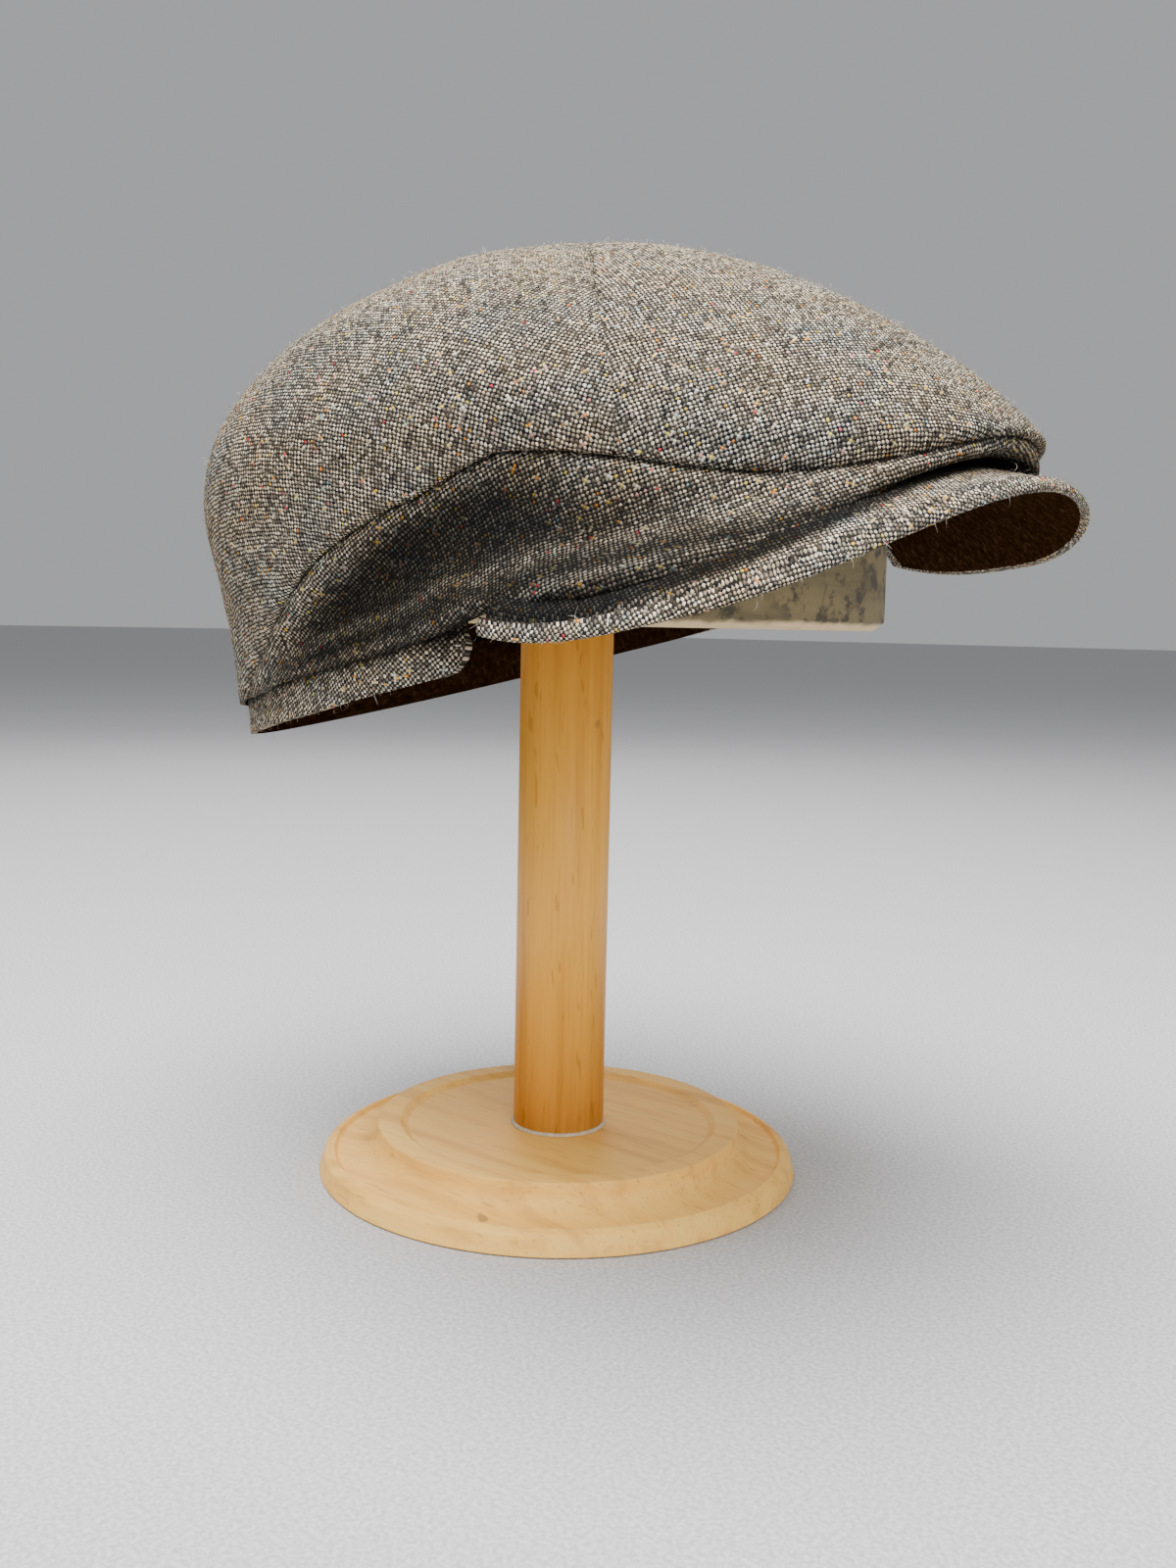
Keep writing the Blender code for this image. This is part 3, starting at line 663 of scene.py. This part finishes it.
def material(key):
    """The material of that name, made once."""
    settings = bpy.context.scene.flat_cap
    makers = {
        "tweed_weave": lambda: tweed(settings),
        "brown_cloth": lambda: lining_cloth(settings),
        "post_beech": lambda: beech(
            "post_beech", settings.beech_gold, (190.0, 190.0, 7.0), (620.0, 620.0, 95.0), 0.38
        ),
        "base_beech": lambda: beech(
            "base_beech", settings.beech_pale, (9.0, 150.0, 150.0), (80.0, 700.0, 700.0), 0.46
        ),
        "old_block_wood_and_painted_shade": lambda: old_wood_and_painted_shade(settings),
        "dried_glue": lambda: plain_finish("dried_glue", (0.72, 0.62, 0.45), 0.35, 0.0002),
        "wool_fibre": wool,
        "pale_floor": lambda: plain_finish("pale_floor", (0.60, 0.60, 0.61), 0.9),
    }
    return bpy.data.materials.get(key) or makers[key]()


def grid_piece(name, columns, rows, shape, finish, closed=False):
    """A grid shaped point by point: shape(u, v) gives a point in the row frame for u and v from 0 to 1."""
    bpy.ops.mesh.primitive_grid_add(x_subdivisions=columns, y_subdivisions=rows, size=1.0)
    piece = bpy.context.object
    piece.name = piece.data.name = name
    for vertex in piece.data.vertices:
        vertex.co = shape(vertex.co.x + 0.5, vertex.co.y + 0.5)
    piece.data.materials.append(material(finish))
    if closed:
        select_all(piece)
        bpy.ops.mesh.remove_doubles(threshold=1e-6)
        bpy.ops.mesh.normals_make_consistent(inside=False)
        bpy.ops.object.mode_set(mode="OBJECT")
    piece.data.shade_smooth()
    return piece


def choose(piece):
    bpy.ops.object.select_all(action="DESELECT")
    piece.select_set(True)
    bpy.context.view_layer.objects.active = piece


def select_all(piece):
    choose(piece)
    bpy.ops.object.mode_set(mode="EDIT")
    bpy.ops.mesh.select_all(action="SELECT")


def grid_points(piece, columns, rows):
    """The points of a fresh grid piece as an array [row, column, xyz]."""
    flat = np.empty((columns + 1) * (rows + 1) * 3)
    piece.data.vertices.foreach_get("co", flat)
    return flat.reshape(rows + 1, columns + 1, 3)


def face_outwards(piece, middle):
    """Turns the faces of a fresh open sheet so that they look away from a point inside it."""
    towards = sum((p.center - middle).dot(p.normal) * p.area for p in piece.data.polygons)
    if towards < 0.0:
        piece.data.flip_normals()


def mark_painted_shade(piece, amounts):
    """Stores the painted shade at each vertex, by which the weave's material darkens the cloth."""
    # The attribute named crease holds painted shade, not a colour of the cloth.
    layer = piece.data.attributes.new("crease", "FLOAT", "POINT")
    layer.data.foreach_set("value", np.clip(np.asarray(amounts, dtype=float).ravel(), 0.0, 1.0))


def sew(piece, columns, rows, depth, width, first=0.0, last=0.0, ends=0.0, foot=None, hollow=None):
    """Rolls the cloth in along its sewn edges, each by a share of the depth, and paints shade into it
    there.

    Foot gives for each column how far the first (positive) or last (negative) row turns in as a free
    lower edge. Hollow adds painted shade in the folds.
    """
    points = grid_points(piece, columns, rows)
    step = np.linalg.norm(np.diff(points, axis=0), axis=2)
    run = np.vstack([np.zeros(columns + 1), np.cumsum(step, axis=0)])
    side = np.linalg.norm(np.diff(points, axis=1), axis=2)
    walk = np.hstack([np.zeros((rows + 1, 1)), np.cumsum(side, axis=1)])
    from_last, from_end = run[-1] - run, walk[:, -1:] - walk
    sunk, dark = np.zeros_like(run), np.zeros_like(run)
    free = np.zeros(columns + 1) if foot is None else np.asarray(foot)
    last = np.asarray(last) * (free >= 0)
    for away, share in ((run, first * (free <= 0)), (from_last, last), (walk, ends), (from_end, ends)):
        sunk = np.maximum(sunk, np.exp(-((away / width) ** 2)) * share)
        line = np.exp(-((away / (SEAM_SHADE_SHARE * width)) ** 2))
        dark = np.maximum(dark, line * share**1.5 * 0.95)
    turned_first = np.exp(-((run / FIRST_TURN_WIDTH) ** 2))
    turned_last = np.exp(-((from_last / LAST_TURN_WIDTH) ** 2))
    turned = np.where(free > 0, turned_first, turned_last) * (np.abs(free) > 0)
    dark = np.maximum(dark, turned * np.minimum(0.35 + np.abs(free) / DARK_TURN, 1.0))
    if hollow is not None:
        dark = np.maximum(dark, hollow)
    # dark is painted shade: seam lines, turned edges and the hollows of the folds.
    mark_painted_shade(piece, dark)
    normals = np.empty(len(piece.data.vertices) * 3)
    piece.data.vertices.foreach_get("normal", normals)
    moved = points - normals.reshape(points.shape) * (sunk * depth + turned * np.abs(free))[:, :, None]
    piece.data.vertices.foreach_set("co", moved.ravel())
    piece.data.update()


def unwrap_weave(piece, forward):
    """Unwraps a sheet, scales its UVs to metres and turns them so that the weave follows a direction."""
    piece.data.uv_layers.active.name = "weave"
    select_all(piece)
    bpy.ops.uv.unwrap(method="MINIMUM_STRETCH", iterations=8, margin=0.0)
    bpy.ops.object.mode_set(mode="OBJECT")
    mesh = piece.data
    layer = mesh.uv_layers["weave"].data
    uv = np.empty(len(layer) * 2)
    layer.foreach_get("uv", uv)
    uv = uv.reshape(-1, 2)
    ids = np.empty(len(mesh.loops), dtype=int)
    mesh.loops.foreach_get("vertex_index", ids)
    co = np.empty(len(mesh.vertices) * 3)
    mesh.vertices.foreach_get("co", co)
    co = co.reshape(-1, 3)[ids]
    quads = uv.reshape(-1, 4, 2)
    one, two = quads[:, 2] - quads[:, 0], quads[:, 3] - quads[:, 1]
    area_uv = np.abs(one[:, 0] * two[:, 1] - one[:, 1] * two[:, 0]).sum() / 2.0
    uv *= math.sqrt(sum(p.area for p in mesh.polygons) / area_uv)
    along = co @ np.array(forward)
    fit = np.linalg.lstsq(np.c_[uv, np.ones(len(uv))], along, rcond=None)[0]
    turn = math.atan2(fit[1], fit[0])
    c, s = math.cos(turn), math.sin(turn)
    uv = np.c_[uv[:, 0] * c + uv[:, 1] * s, -uv[:, 0] * s + uv[:, 1] * c]
    layer.foreach_set("uv", uv.ravel())


def thicken(piece, thickness, inner):
    piece.data.materials.append(material(inner))
    solid = piece.modifiers.new("Cloth", "SOLIDIFY")
    solid.thickness = thickness
    solid.offset = -1.0
    solid.material_offset = 1
    choose(piece)
    bpy.ops.object.modifier_apply(modifier=solid.name)


def dress(piece, slot, *nodes):
    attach(piece, "root")
    if nodes:
        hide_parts(*nodes)


class PieceOperator:
    """What the operators share."""

    bl_options = {"REGISTER", "UNDO"}

    @property
    def settings(self):
        return bpy.context.scene.flat_cap


class FLATCAP_OT_top_panels(PieceOperator, bpy.types.Operator):
    """Adds the front and back panels of the crown"""

    bl_idname = "flatcap.top_panels"
    bl_label = "Crown panels"

    def execute(self, context):
        for name, facing, columns, rows in (("crown_front", 1, 150, 90), ("crown_back", -1, 260, 110)):
            def shape(u, v, facing=facing):
                s = 2.0 * u - 1.0
                foot = 1.0 - seam_rise(CROSS_SEAM_ANGLE)
                foot_p = foot * math.cos(math.radians(CROSS_SEAM_ANGLE))
                foot_q = foot * math.sin(math.radians(CROSS_SEAM_ANGLE))
                angle = CROSS_SEAM_ANGLE * s if facing > 0 else 180.0 - (180.0 - CROSS_SEAM_ANGLE) * s
                edge = 1.0 - max(seam_rise(angle), 0.0)
                p_edge = edge * math.cos(math.radians(angle))
                q_edge = edge * math.sin(math.radians(angle))
                run = CROSS_SEAM_TOP + (1.0 - CROSS_SEAM_TOP) * abs(s) ** CROSS_SEAM_CURVE
                p_seam = foot_p * run - facing * 0.002
                p = p_seam * (1.0 - v) + p_edge * v
                q = foot_q * s * (1.0 - v) + q_edge * v
                angle_here, rise_here = from_plan(p, q)
                return place(crown_point(angle_here, max(rise_here, 0.0)))

            piece = grid_piece(name + "_cloth", columns, rows, shape, "tweed_weave")
            face_outwards(piece, place(INSIDE_CROWN))
            half_turn = 180.0 - CROSS_SEAM_ANGLE
            across = [180.0 - half_turn * (2.0 * j / columns - 1.0) for j in range(columns + 1)]
            free = [-FREE_TURN * (facing < 0 and seam_rise(a) < 0.004) for a in across]
            depth, width = self.settings.seam_depth, self.settings.seam_width
            last = [seam_strength(CROSS_SEAM_ANGLE) if facing > 0 else seam_strength(a) for a in across]
            sew(piece, columns, rows, depth, width, first=0.34, last=last, foot=free)
            unwrap_weave(piece, (1.0, 0.35 if facing > 0 else 0.0, 0.0))
            thicken(piece, self.settings.cloth, "brown_cloth")
            dress(piece, "tweed", name)
        return {"FINISHED"}


def side_shade(angle, share):
    """How shaded the side panel is, from its lower edge (share 0) to the side seam (share 1)."""
    ridge = 0.30 * math.exp(-(((share - 0.13) / 0.08) ** 2))
    low = (1.0 - smooth((share - 0.22) / 0.66)) * smooth((124.0 - abs(angle)) / 30.0) * (1.0 - ridge)
    folded = 0.97 * smooth(fold_depth(angle, seam_rise(angle) * share) / (5.0 * MM))
    return max(low, folded)


class FLATCAP_OT_side_panels(PieceOperator, bpy.types.Operator):
    """Adds the panels between the head opening and the side seams"""

    bl_idname = "flatcap.side_panels"
    bl_label = "Side panels"

    def execute(self, context):
        end = next(a / 4.0 for a in range(360, 720) if seam_rise(a / 4.0) <= 0.002)
        columns, rows = 240, 56
        for name, side in (("side_right", -1), ("side_left", 1)):
            def shape(u, v, side=side):
                angle = 0.1 + (end - 0.1) * u
                return place(crown_point(side * angle, max(seam_rise(angle), 0.0) * v))

            piece = grid_piece(name + "_cloth", columns, rows, shape, "tweed_weave")
            face_outwards(piece, place(INSIDE_CROWN))
            angles = [0.1 + (end - 0.1) * i / columns for i in range(columns + 1)]
            hollow = [[side_shade(side * a, j / rows) for a in angles] for j in range(rows + 1)]
            depth, width = self.settings.seam_depth, self.settings.seam_width
            free = [FREE_TURN + PEAK_TURN * on_peak(a) for a in angles]
            last = [seam_strength(a) for a in angles]
            sew(piece, columns, rows, depth, width, last=last, foot=free, hollow=np.array(hollow))
            unwrap_weave(piece, (1.0, 0.0, 0.2))
            thicken(piece, self.settings.cloth, "brown_cloth")
            dress(piece, "tweed", name)
        return {"FINISHED"}


def peak_place(s, inward, depth):
    """A point of the peak, inward from its outer edge in plan and below its upper face."""
    edge = peak_outline(s, 0.0)
    corner = math.acos(PEAK_CORNER_FORWARD / RIM_HALF_LENGTH) * s
    inner_x = (RIM_HALF_LENGTH + PEAK_INSIDE_GAP) * math.cos(corner)
    inner_y = (RIM_HALF_WIDTH + PEAK_INSIDE_GAP) * math.sin(corner)
    span = math.hypot(inner_x - edge[0], inner_y - edge[1])
    t = inward / span
    x, y = edge[0] + (inner_x - edge[0]) * t, edge[1] + (inner_y - edge[1]) * t
    return Vector((x, y, peak_height(x, y) - depth)), span


def peak_weave(x, y):
    """Where a place of the peak lies in its flat cloth, in metres."""
    k = 2.0 * PEAK_ARCH / PEAK_HALF_WIDTH**2
    flat = (y * math.sqrt(1.0 + (k * y) ** 2) + math.asinh(k * y) / k) / 2.0
    return x * PEAK_CLOTH_SLOPE, flat


class FLATCAP_OT_peak(PieceOperator, bpy.types.Operator):
    """Adds the tweed peak with its turned edge, and the brown cloth under it"""

    bl_idname = "flatcap.peak"
    bl_label = "Peak"

    def execute(self, context):
        board, hem = self.settings.peak_board, self.settings.peak_hem
        columns, rows = 260, 84
        radius = board / 2.0
        edge_from, edge_to = PEAK_EDGE_ROWS
        plan, dark = {}, np.zeros((rows + 1, columns + 1))

        def shape(u, v):
            s = 2.0 * u - 1.0
            span = peak_place(s, 0.0, 0.0)[1]
            if v < edge_from:
                inward = radius + (span - radius) * (1.0 - v / edge_from)
                groove = math.exp(-(((inward - GROOVE_INWARD) / GROOVE_HALF_WIDTH) ** 2))
                swell = math.exp(-(((inward - ROLL_INWARD) / ROLL_HALF_WIDTH) ** 2))
                point = peak_place(s, inward, GROOVE_DEPTH * groove - ROLL_HEIGHT * swell)[0]
                shown = PEAK_SHOWN_FRONT + (PEAK_SHOWN_SIDE - PEAK_SHOWN_FRONT) * abs(s)
                # Painted shade: the stitched groove and the upper face just under the crown's edge are
                # drawn darker.
                under = smooth((inward - shown + UNDER_CROWN_SHADE) / UNDER_CROWN_SHADE)
                dark[round(v * rows), round(u * columns)] = max(0.9 * groove, under)
                flat = (point.x, point.y)
            elif v < edge_to:
                turn = (v - edge_from) / (edge_to - edge_from) * math.pi
                point = peak_place(s, radius - radius * math.sin(turn), radius - radius * math.cos(turn))[0]
                flat = tuple(peak_place(s, radius - radius * turn, 0.0)[0])[:2]
            else:
                inward = radius + (span - radius) * (v - edge_to) / (1.0 - edge_to)
                point = peak_place(s, inward, board)[0]
                flat = tuple(peak_place(s, radius - radius * math.pi - inward, 0.0)[0])[:2]
            plan[round(u * columns), round(v * rows)] = peak_weave(*flat)
            return place(point)

        piece = grid_piece("peak_cloth", columns, rows, shape, "tweed_weave")
        layer = piece.data.uv_layers.active
        layer.name = "weave"
        for loop in piece.data.loops:
            column, row = loop.vertex_index % (columns + 1), loop.vertex_index // (columns + 1)
            layer.data[loop.index].uv = plan[column, row]
        mark_painted_shade(piece, dark)
        select_all(piece)
        bpy.ops.mesh.select_all(action="DESELECT")
        bpy.ops.mesh.select_mode(type="EDGE")
        bpy.ops.mesh.select_non_manifold()
        bpy.ops.mesh.edge_face_add()
        bpy.ops.mesh.select_all(action="SELECT")
        bpy.ops.mesh.normals_make_consistent(inside=False)
        bpy.ops.object.mode_set(mode="OBJECT")
        dress(piece, "tweed", "peak")

        def under(u, v):
            s = (2.0 * u - 1.0) * LINING_SPREAD
            span = peak_place(s, 0.0, 0.0)[1]
            inward = hem + (span - hem - LINING_BACK_GAP) * (1.0 - v)
            bulge = LINING_BULGE * math.sin(math.pi * (1.0 - v))
            return place(peak_place(s, inward, board + LINING_GAP + bulge)[0])

        piece = grid_piece("peak_lining_cloth", 160, 30, under, "brown_cloth")
        face_outwards(piece, place(INSIDE_PEAK))
        thicken(piece, LINING_THICKNESS, "brown_cloth")
        dress(piece, "brown_lining", "peak_lining")
        return {"FINISHED"}


def flap_point(angle, depth, share, hem=0.0):
    """The back band: share 1 at its tucked top, 0 at the crown's edge and -1 at its own lower edge."""
    angle = turned_angle(angle)
    a = math.radians(angle)
    if share < 0.0:
        start = math.degrees(math.acos(FLAP_END_FORWARD / RIM_HALF_LENGTH))
        along = math.radians(abs(angle) - start) * RIM_HALF_LENGTH
        from_corner = min(max(1.0 - along / FLAP_END_ROUNDING, 0.0), 1.0)
        bottom = FLAP_SHOWN * (1.0 - math.sqrt(1.0 - from_corner**2)) * 0.8 - FLAP_SHOWN + hem
        top = flap_point(angle, depth, 0.0)
        x, y = (RIM_HALF_LENGTH - depth) * math.cos(a), (RIM_HALF_WIDTH - depth) * math.sin(a)
        swell = math.sin(min(-share * 1.25, 1.0) * math.pi / 2.0) * FLAP_SWELL
        low = Vector((x + math.cos(a) * swell, y + math.sin(a) * swell, bottom))
        return top.lerp(low, -share)
    height = FLAP_TUCKED * share
    rise = height / APEX_HEIGHT / section_value(1, angle) * BULGE_RISE
    inside = depth + max(fold_depth(angle, rise), 0.0)
    x, y = (RIM_HALF_LENGTH - inside) * math.cos(a), (RIM_HALF_WIDTH - inside) * math.sin(a)
    return crown_point(angle, rise, depth).lerp(Vector((x, y, height)), on_peak(angle))


class FLATCAP_OT_flap(PieceOperator, bpy.types.Operator):
    """Adds the doubled band round the back of the head opening"""

    bl_idname = "flatcap.flap"
    bl_label = "Ear flap"

    def execute(self, context):
        start = math.degrees(math.acos(FLAP_END_FORWARD / RIM_HALF_LENGTH)) + 0.1
        columns, rows = 300, 40

        def layer(depth, hem):
            def shape(u, v):
                angle = start + (360.0 - 2.0 * start) * u
                return place(flap_point(angle, depth, 1.0 - 2.0 * v, hem))

            return shape

        cloth = self.settings.cloth
        outer_shape = layer(cloth + FLAP_DEPTH, 0.0)
        outer = grid_piece("ear_flap_cloth", columns, rows, outer_shape, "tweed_weave")
        face_outwards(outer, place(Vector((0.0, 0.0, 0.0))))
        # Painted shade on the band just below the crown's edge.
        below = np.maximum(2.0 * np.arange(rows + 1) / rows - 1.0, 0.0) * FLAP_SHOWN
        dark = 0.95 * np.exp(-((below / FLAP_SHADE) ** 2))
        mark_painted_shade(outer, np.repeat(dark[:, None], columns + 1, axis=1))
        unwrap_weave(outer, (0.0, 1.0, 0.0))
        thicken(outer, FLAP_CLOTH, "brown_cloth")
        dress(outer, "tweed", "ear_flap")
        inner_shape = layer(cloth + FLAP_LINING_DEPTH, FLAP_LINING_HEM)
        inner = grid_piece("flap_lining_cloth", columns, rows, inner_shape, "brown_cloth")
        face_outwards(inner, place(Vector((0.0, 0.0, 0.0))))
        thicken(inner, FLAP_LINING_CLOTH, "brown_cloth")
        dress(inner, "brown_lining", "flap_lining")
        return {"FINISHED"}


class FLATCAP_OT_fibres(PieceOperator, bpy.types.Operator):
    """Adds the loose wool fibres that stand off the cloth"""

    bl_idname = "flatcap.fibres"
    bl_label = "Wool fibres"

    def execute(self, context):
        chance = np.random.default_rng(self.settings.seed)
        sources = ("crown_front", "crown_back", "side_right", "side_left", "peak", "ear_flap")
        centres, normals, areas, shades = [], [], [], []
        for name in sources:
            mesh = bpy.data.objects[name + "_cloth"].data
            shade = mesh.attributes["crease"].data
            for face in mesh.polygons:
                if face.material_index == 0 and (face.normal.z > -0.4 or name != "peak"):
                    shades.append(shade[face.vertices[0]].value)
                    centres.append(face.center[:])
                    normals.append(face.normal[:])
                    areas.append(face.area)
        areas = np.array(areas) * (1.0 - 0.8 * np.array(shades))
        picked = chance.choice(len(areas), self.settings.fibre_count, p=areas / areas.sum())
        verts, faces, dark = [], [], []
        for k in picked:
            dark += [shades[k]] * 2 * FIBRE_POINTS
            foot, out = Vector(centres[k]), Vector(normals[k])
            foot += Vector(chance.normal(0.0, FIBRE_SCATTER, 3))
            side = out.cross(Vector(chance.normal(0.0, 1.0, 3))).normalized()
            curl = out.cross(side)
            length = self.settings.fibre_length * chance.uniform(*FIBRE_LENGTH_SHARES)
            lean = chance.uniform(*FIBRE_LEANS) ** 1.5
            width = chance.uniform(*FIBRE_HALF_WIDTHS_IN_MM) * MM
            bend = chance.uniform(*FIBRE_BENDS)
            at = foot.copy()
            for i in range(FIBRE_POINTS):
                verts.append(at - curl * width * (1.0 - 0.18 * i))
                verts.append(at + curl * width * (1.0 - 0.18 * i))
                heading = bend * (i - 1) * 0.5
                step = side * math.cos(heading) + curl * math.sin(heading) + out * (lean * (1.0 - i * 0.30))
                at = at + step.normalized() * (length / (FIBRE_POINTS - 1))
            first = len(verts) - 2 * FIBRE_POINTS
            for k in range(first, len(verts) - 2, 2):
                faces.append((k, k + 1, k + 3, k + 2))
        mesh = bpy.data.meshes.new("wool_fibres")
        mesh.from_pydata(verts, [], faces)
        mesh.materials.append(material("wool_fibre"))
        # Each fibre carries the painted shade of the cloth it stands on.
        mesh.attributes.new("crease", "FLOAT", "POINT").data.foreach_set("value", dark)
        piece = bpy.data.objects.new("wool_fibres", mesh)
        context.scene.collection.objects.link(piece)
        dress(piece, "tweed")
        return {"FINISHED"}


def lathe(name, profile, segments, finish):
    """A turned piece: the profile's (radius, height) points spun about the vertical axis."""
    rows = len(profile) - 1

    def shape(u, v):
        radius, height = profile[round(v * rows)]
        turn = 2.0 * math.pi * u
        return Vector((radius * math.cos(turn), radius * math.sin(turn), height))

    return grid_piece(name, segments, rows, shape, finish, closed=True)


def rounded(points, reach, steps=5):
    """The same line with each inner corner replaced by a small curve."""
    line = [points[0]]
    for before, corner, after in zip(points, points[1:], points[2:]):
        b, c, a = Vector(before), Vector(corner), Vector(after)
        cut = min(reach, (c - b).length * 0.45, (a - c).length * 0.45)
        start, end = c + (b - c).normalized() * cut, c + (a - c).normalized() * cut
        for k in range(steps + 1):
            t = k / steps
            line.append(tuple(start * (1 - t) ** 2 + c * 2 * t * (1 - t) + end * t * t))
    return line + [points[-1]]


class FLATCAP_OT_stand(PieceOperator, bpy.types.Operator):
    """Adds the turned foot, the post and the oval block"""

    bl_idname = "flatcap.stand"
    bl_label = "Stand"

    def execute(self, context):
        bead = BASE_BEAD
        cove_out = BASE_RADIUS - 2.2 * bead
        disc_side = (BASE_HEIGHT - BASE_BAND_HEIGHT) * BASE_STEP_SHARE
        rise = BASE_HEIGHT - disc_side - BASE_BAND_HEIGHT
        floor = BASE_HEIGHT - BASE_RECESS_DEPTH
        line = [(0.0, 0.0), (BASE_RADIUS, 0.0), (BASE_RADIUS - bead * 0.45, BASE_BAND_HEIGHT)]
        line += [(BASE_RADIUS - bead * 1.2, BASE_BAND_HEIGHT + bead * 0.4)]
        line += [(BASE_RADIUS - bead * 1.5, BASE_BAND_HEIGHT - bead * 0.05)]
        for k in range(13):
            a = math.pi / 2.0 * k / 12
            run = cove_out - BASE_DISC_RADIUS
            line.append((cove_out - run * math.sin(a), BASE_BAND_HEIGHT + rise * (1.0 - math.cos(a))))
        recess_out = BASE_RECESS_RADIUS + BASE_RECESS_DEPTH * 1.4
        line += [(BASE_DISC_RADIUS, BASE_HEIGHT), (recess_out, BASE_HEIGHT)]
        line += [(BASE_RECESS_RADIUS, floor), (0.0, floor)]
        dress(lathe("stand_base_wood", rounded(line, 0.5 * MM), 160, "base_beech"), "beech", "stand_base")
        low, high = floor - POST_IN_FOOT, BLOCK_BOTTOM + POST_IN_BLOCK
        post = [(0.0, low), (POST_RADIUS, low), (POST_RADIUS, high), (0.0, high)]
        dress(lathe("stand_post_wood", post, 96, "post_beech"), "beech", "stand_post")
        glue = [(POST_RADIUS + out * MM, floor + up * MM) for out, up in GLUE_SECTION]
        dress(lathe("post_glue", rounded(glue, 0.4 * MM, 3), 96, "dried_glue"), "beech")
        self.block()
        return {"FINISHED"}

    def block(self):
        wall_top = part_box("stand_block")[1][2] - BLOCK_DOME
        line = [(0.0, BLOCK_BOTTOM), (BLOCK_CHAMFER_SHARE, BLOCK_BOTTOM)]
        line += [(1.0, BLOCK_BOTTOM + BLOCK_CHAMFER), (1.0, wall_top)]
        for k in range(1, 25):
            a = math.pi / 2.0 * k / 24
            line.append((math.cos(a) if k < 24 else 0.0, wall_top + BLOCK_DOME * math.sin(a)))
        rows = len(line) - 1

        def shape(u, v):
            share, height = line[round(v * rows)]
            turn = 2.0 * math.pi * u
            wear_and_painted_shade = 0.9 < share < 0.99
            wear = BLOCK_WEAR * math.sin(turn * 23.0) * math.sin(turn * 7.0 + 1.0) * wear_and_painted_shade
            x = BLOCK_FORWARD + BLOCK_HALF_LENGTH * share * math.cos(turn)
            y = BLOCK_LEFT + BLOCK_HALF_WIDTH * share * math.sin(turn)
            return Vector((x, y, height + max(wear, 0.0)))

        piece = grid_piece("stand_block_wood", 220, rows, shape, "old_block_wood_and_painted_shade", closed=True)
        dress(piece, "worn_wood", "stand_block")


class FLATCAP_OT_stage(PieceOperator, bpy.types.Operator):
    """Adds the pale floor, the soft lights and the camera"""

    bl_idname = "flatcap.stage"
    bl_label = "Stage"

    def execute(self, context):
        bpy.ops.mesh.primitive_plane_add(size=FLOOR_SIZE, location=(0.0, 0.0, -FLOOR_DROP))
        floor = context.object
        floor.name = "floor"
        floor.data.materials.append(material("pale_floor"))
        for name, place_at, aim, size, power in LIGHTS:
            bpy.ops.object.light_add(type="AREA", location=place_at)
            lamp = context.object
            lamp.name = name
            lamp.data.size = size
            lamp.data.energy = power
            lamp.rotation_euler = (Vector(aim) - Vector(place_at)).to_track_quat("-Z", "Y").to_euler()
        world = context.scene.world or bpy.data.worlds.new("studio")
        context.scene.world = world
        world.use_nodes = True
        background = world.node_tree.nodes["Background"]
        background.inputs[0].default_value = WORLD_COLOR
        background.inputs[1].default_value = WORLD_STRENGTH
        bpy.ops.object.camera_add(location=CAMERA_PLACE)
        camera = context.object
        camera.name = "photo_camera"
        camera.data.lens = CAMERA_LENS
        camera.data.sensor_width = SENSOR_WIDTH
        camera.data.clip_start = 0.01
        turn = Matrix.Rotation(math.radians(CAMERA_YAW_DEG), 3, "Z")
        turn = turn @ Matrix.Rotation(math.radians(90.0 - CAMERA_PITCH_DEG), 3, "X")
        turn = turn @ Matrix.Rotation(math.radians(CAMERA_ROLL_DEG), 3, "Z")
        camera.rotation_euler = turn.to_euler()
        context.scene.camera = camera
        return {"FINISHED"}


class FLATCAP_PT_panel(bpy.types.Panel):
    """The cap's buttons in the sidebar"""

    bl_idname = "FLATCAP_PT_panel"
    bl_label = "Flat cap"
    bl_space_type = "VIEW_3D"
    bl_region_type = "UI"
    bl_category = "Flat cap"

    def draw(self, context):
        for operator in OPERATORS:
            self.layout.operator(operator.bl_idname)
        for name in FlatCapSettings.__annotations__:
            self.layout.prop(context.scene.flat_cap, name)


OPERATORS = (
    FLATCAP_OT_top_panels,
    FLATCAP_OT_side_panels,
    FLATCAP_OT_peak,
    FLATCAP_OT_flap,
    FLATCAP_OT_fibres,
    FLATCAP_OT_stand,
    FLATCAP_OT_stage,
)
CLASSES = (FlatCapSettings, *OPERATORS, FLATCAP_PT_panel)


def register():
    for cls in CLASSES:
        bpy.utils.register_class(cls)
    bpy.types.Scene.flat_cap = PointerProperty(type=FlatCapSettings)


def unregister():
    del bpy.types.Scene.flat_cap
    for cls in reversed(CLASSES):
        bpy.utils.unregister_class(cls)


def main():
    register()
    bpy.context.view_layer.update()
    bpy.ops.flatcap.top_panels()
    bpy.ops.flatcap.side_panels()
    bpy.ops.flatcap.peak()
    bpy.ops.flatcap.flap()
    bpy.ops.flatcap.fibres()
    bpy.ops.flatcap.stand()
    bpy.ops.flatcap.stage()


if __name__ == "__main__":
    main()
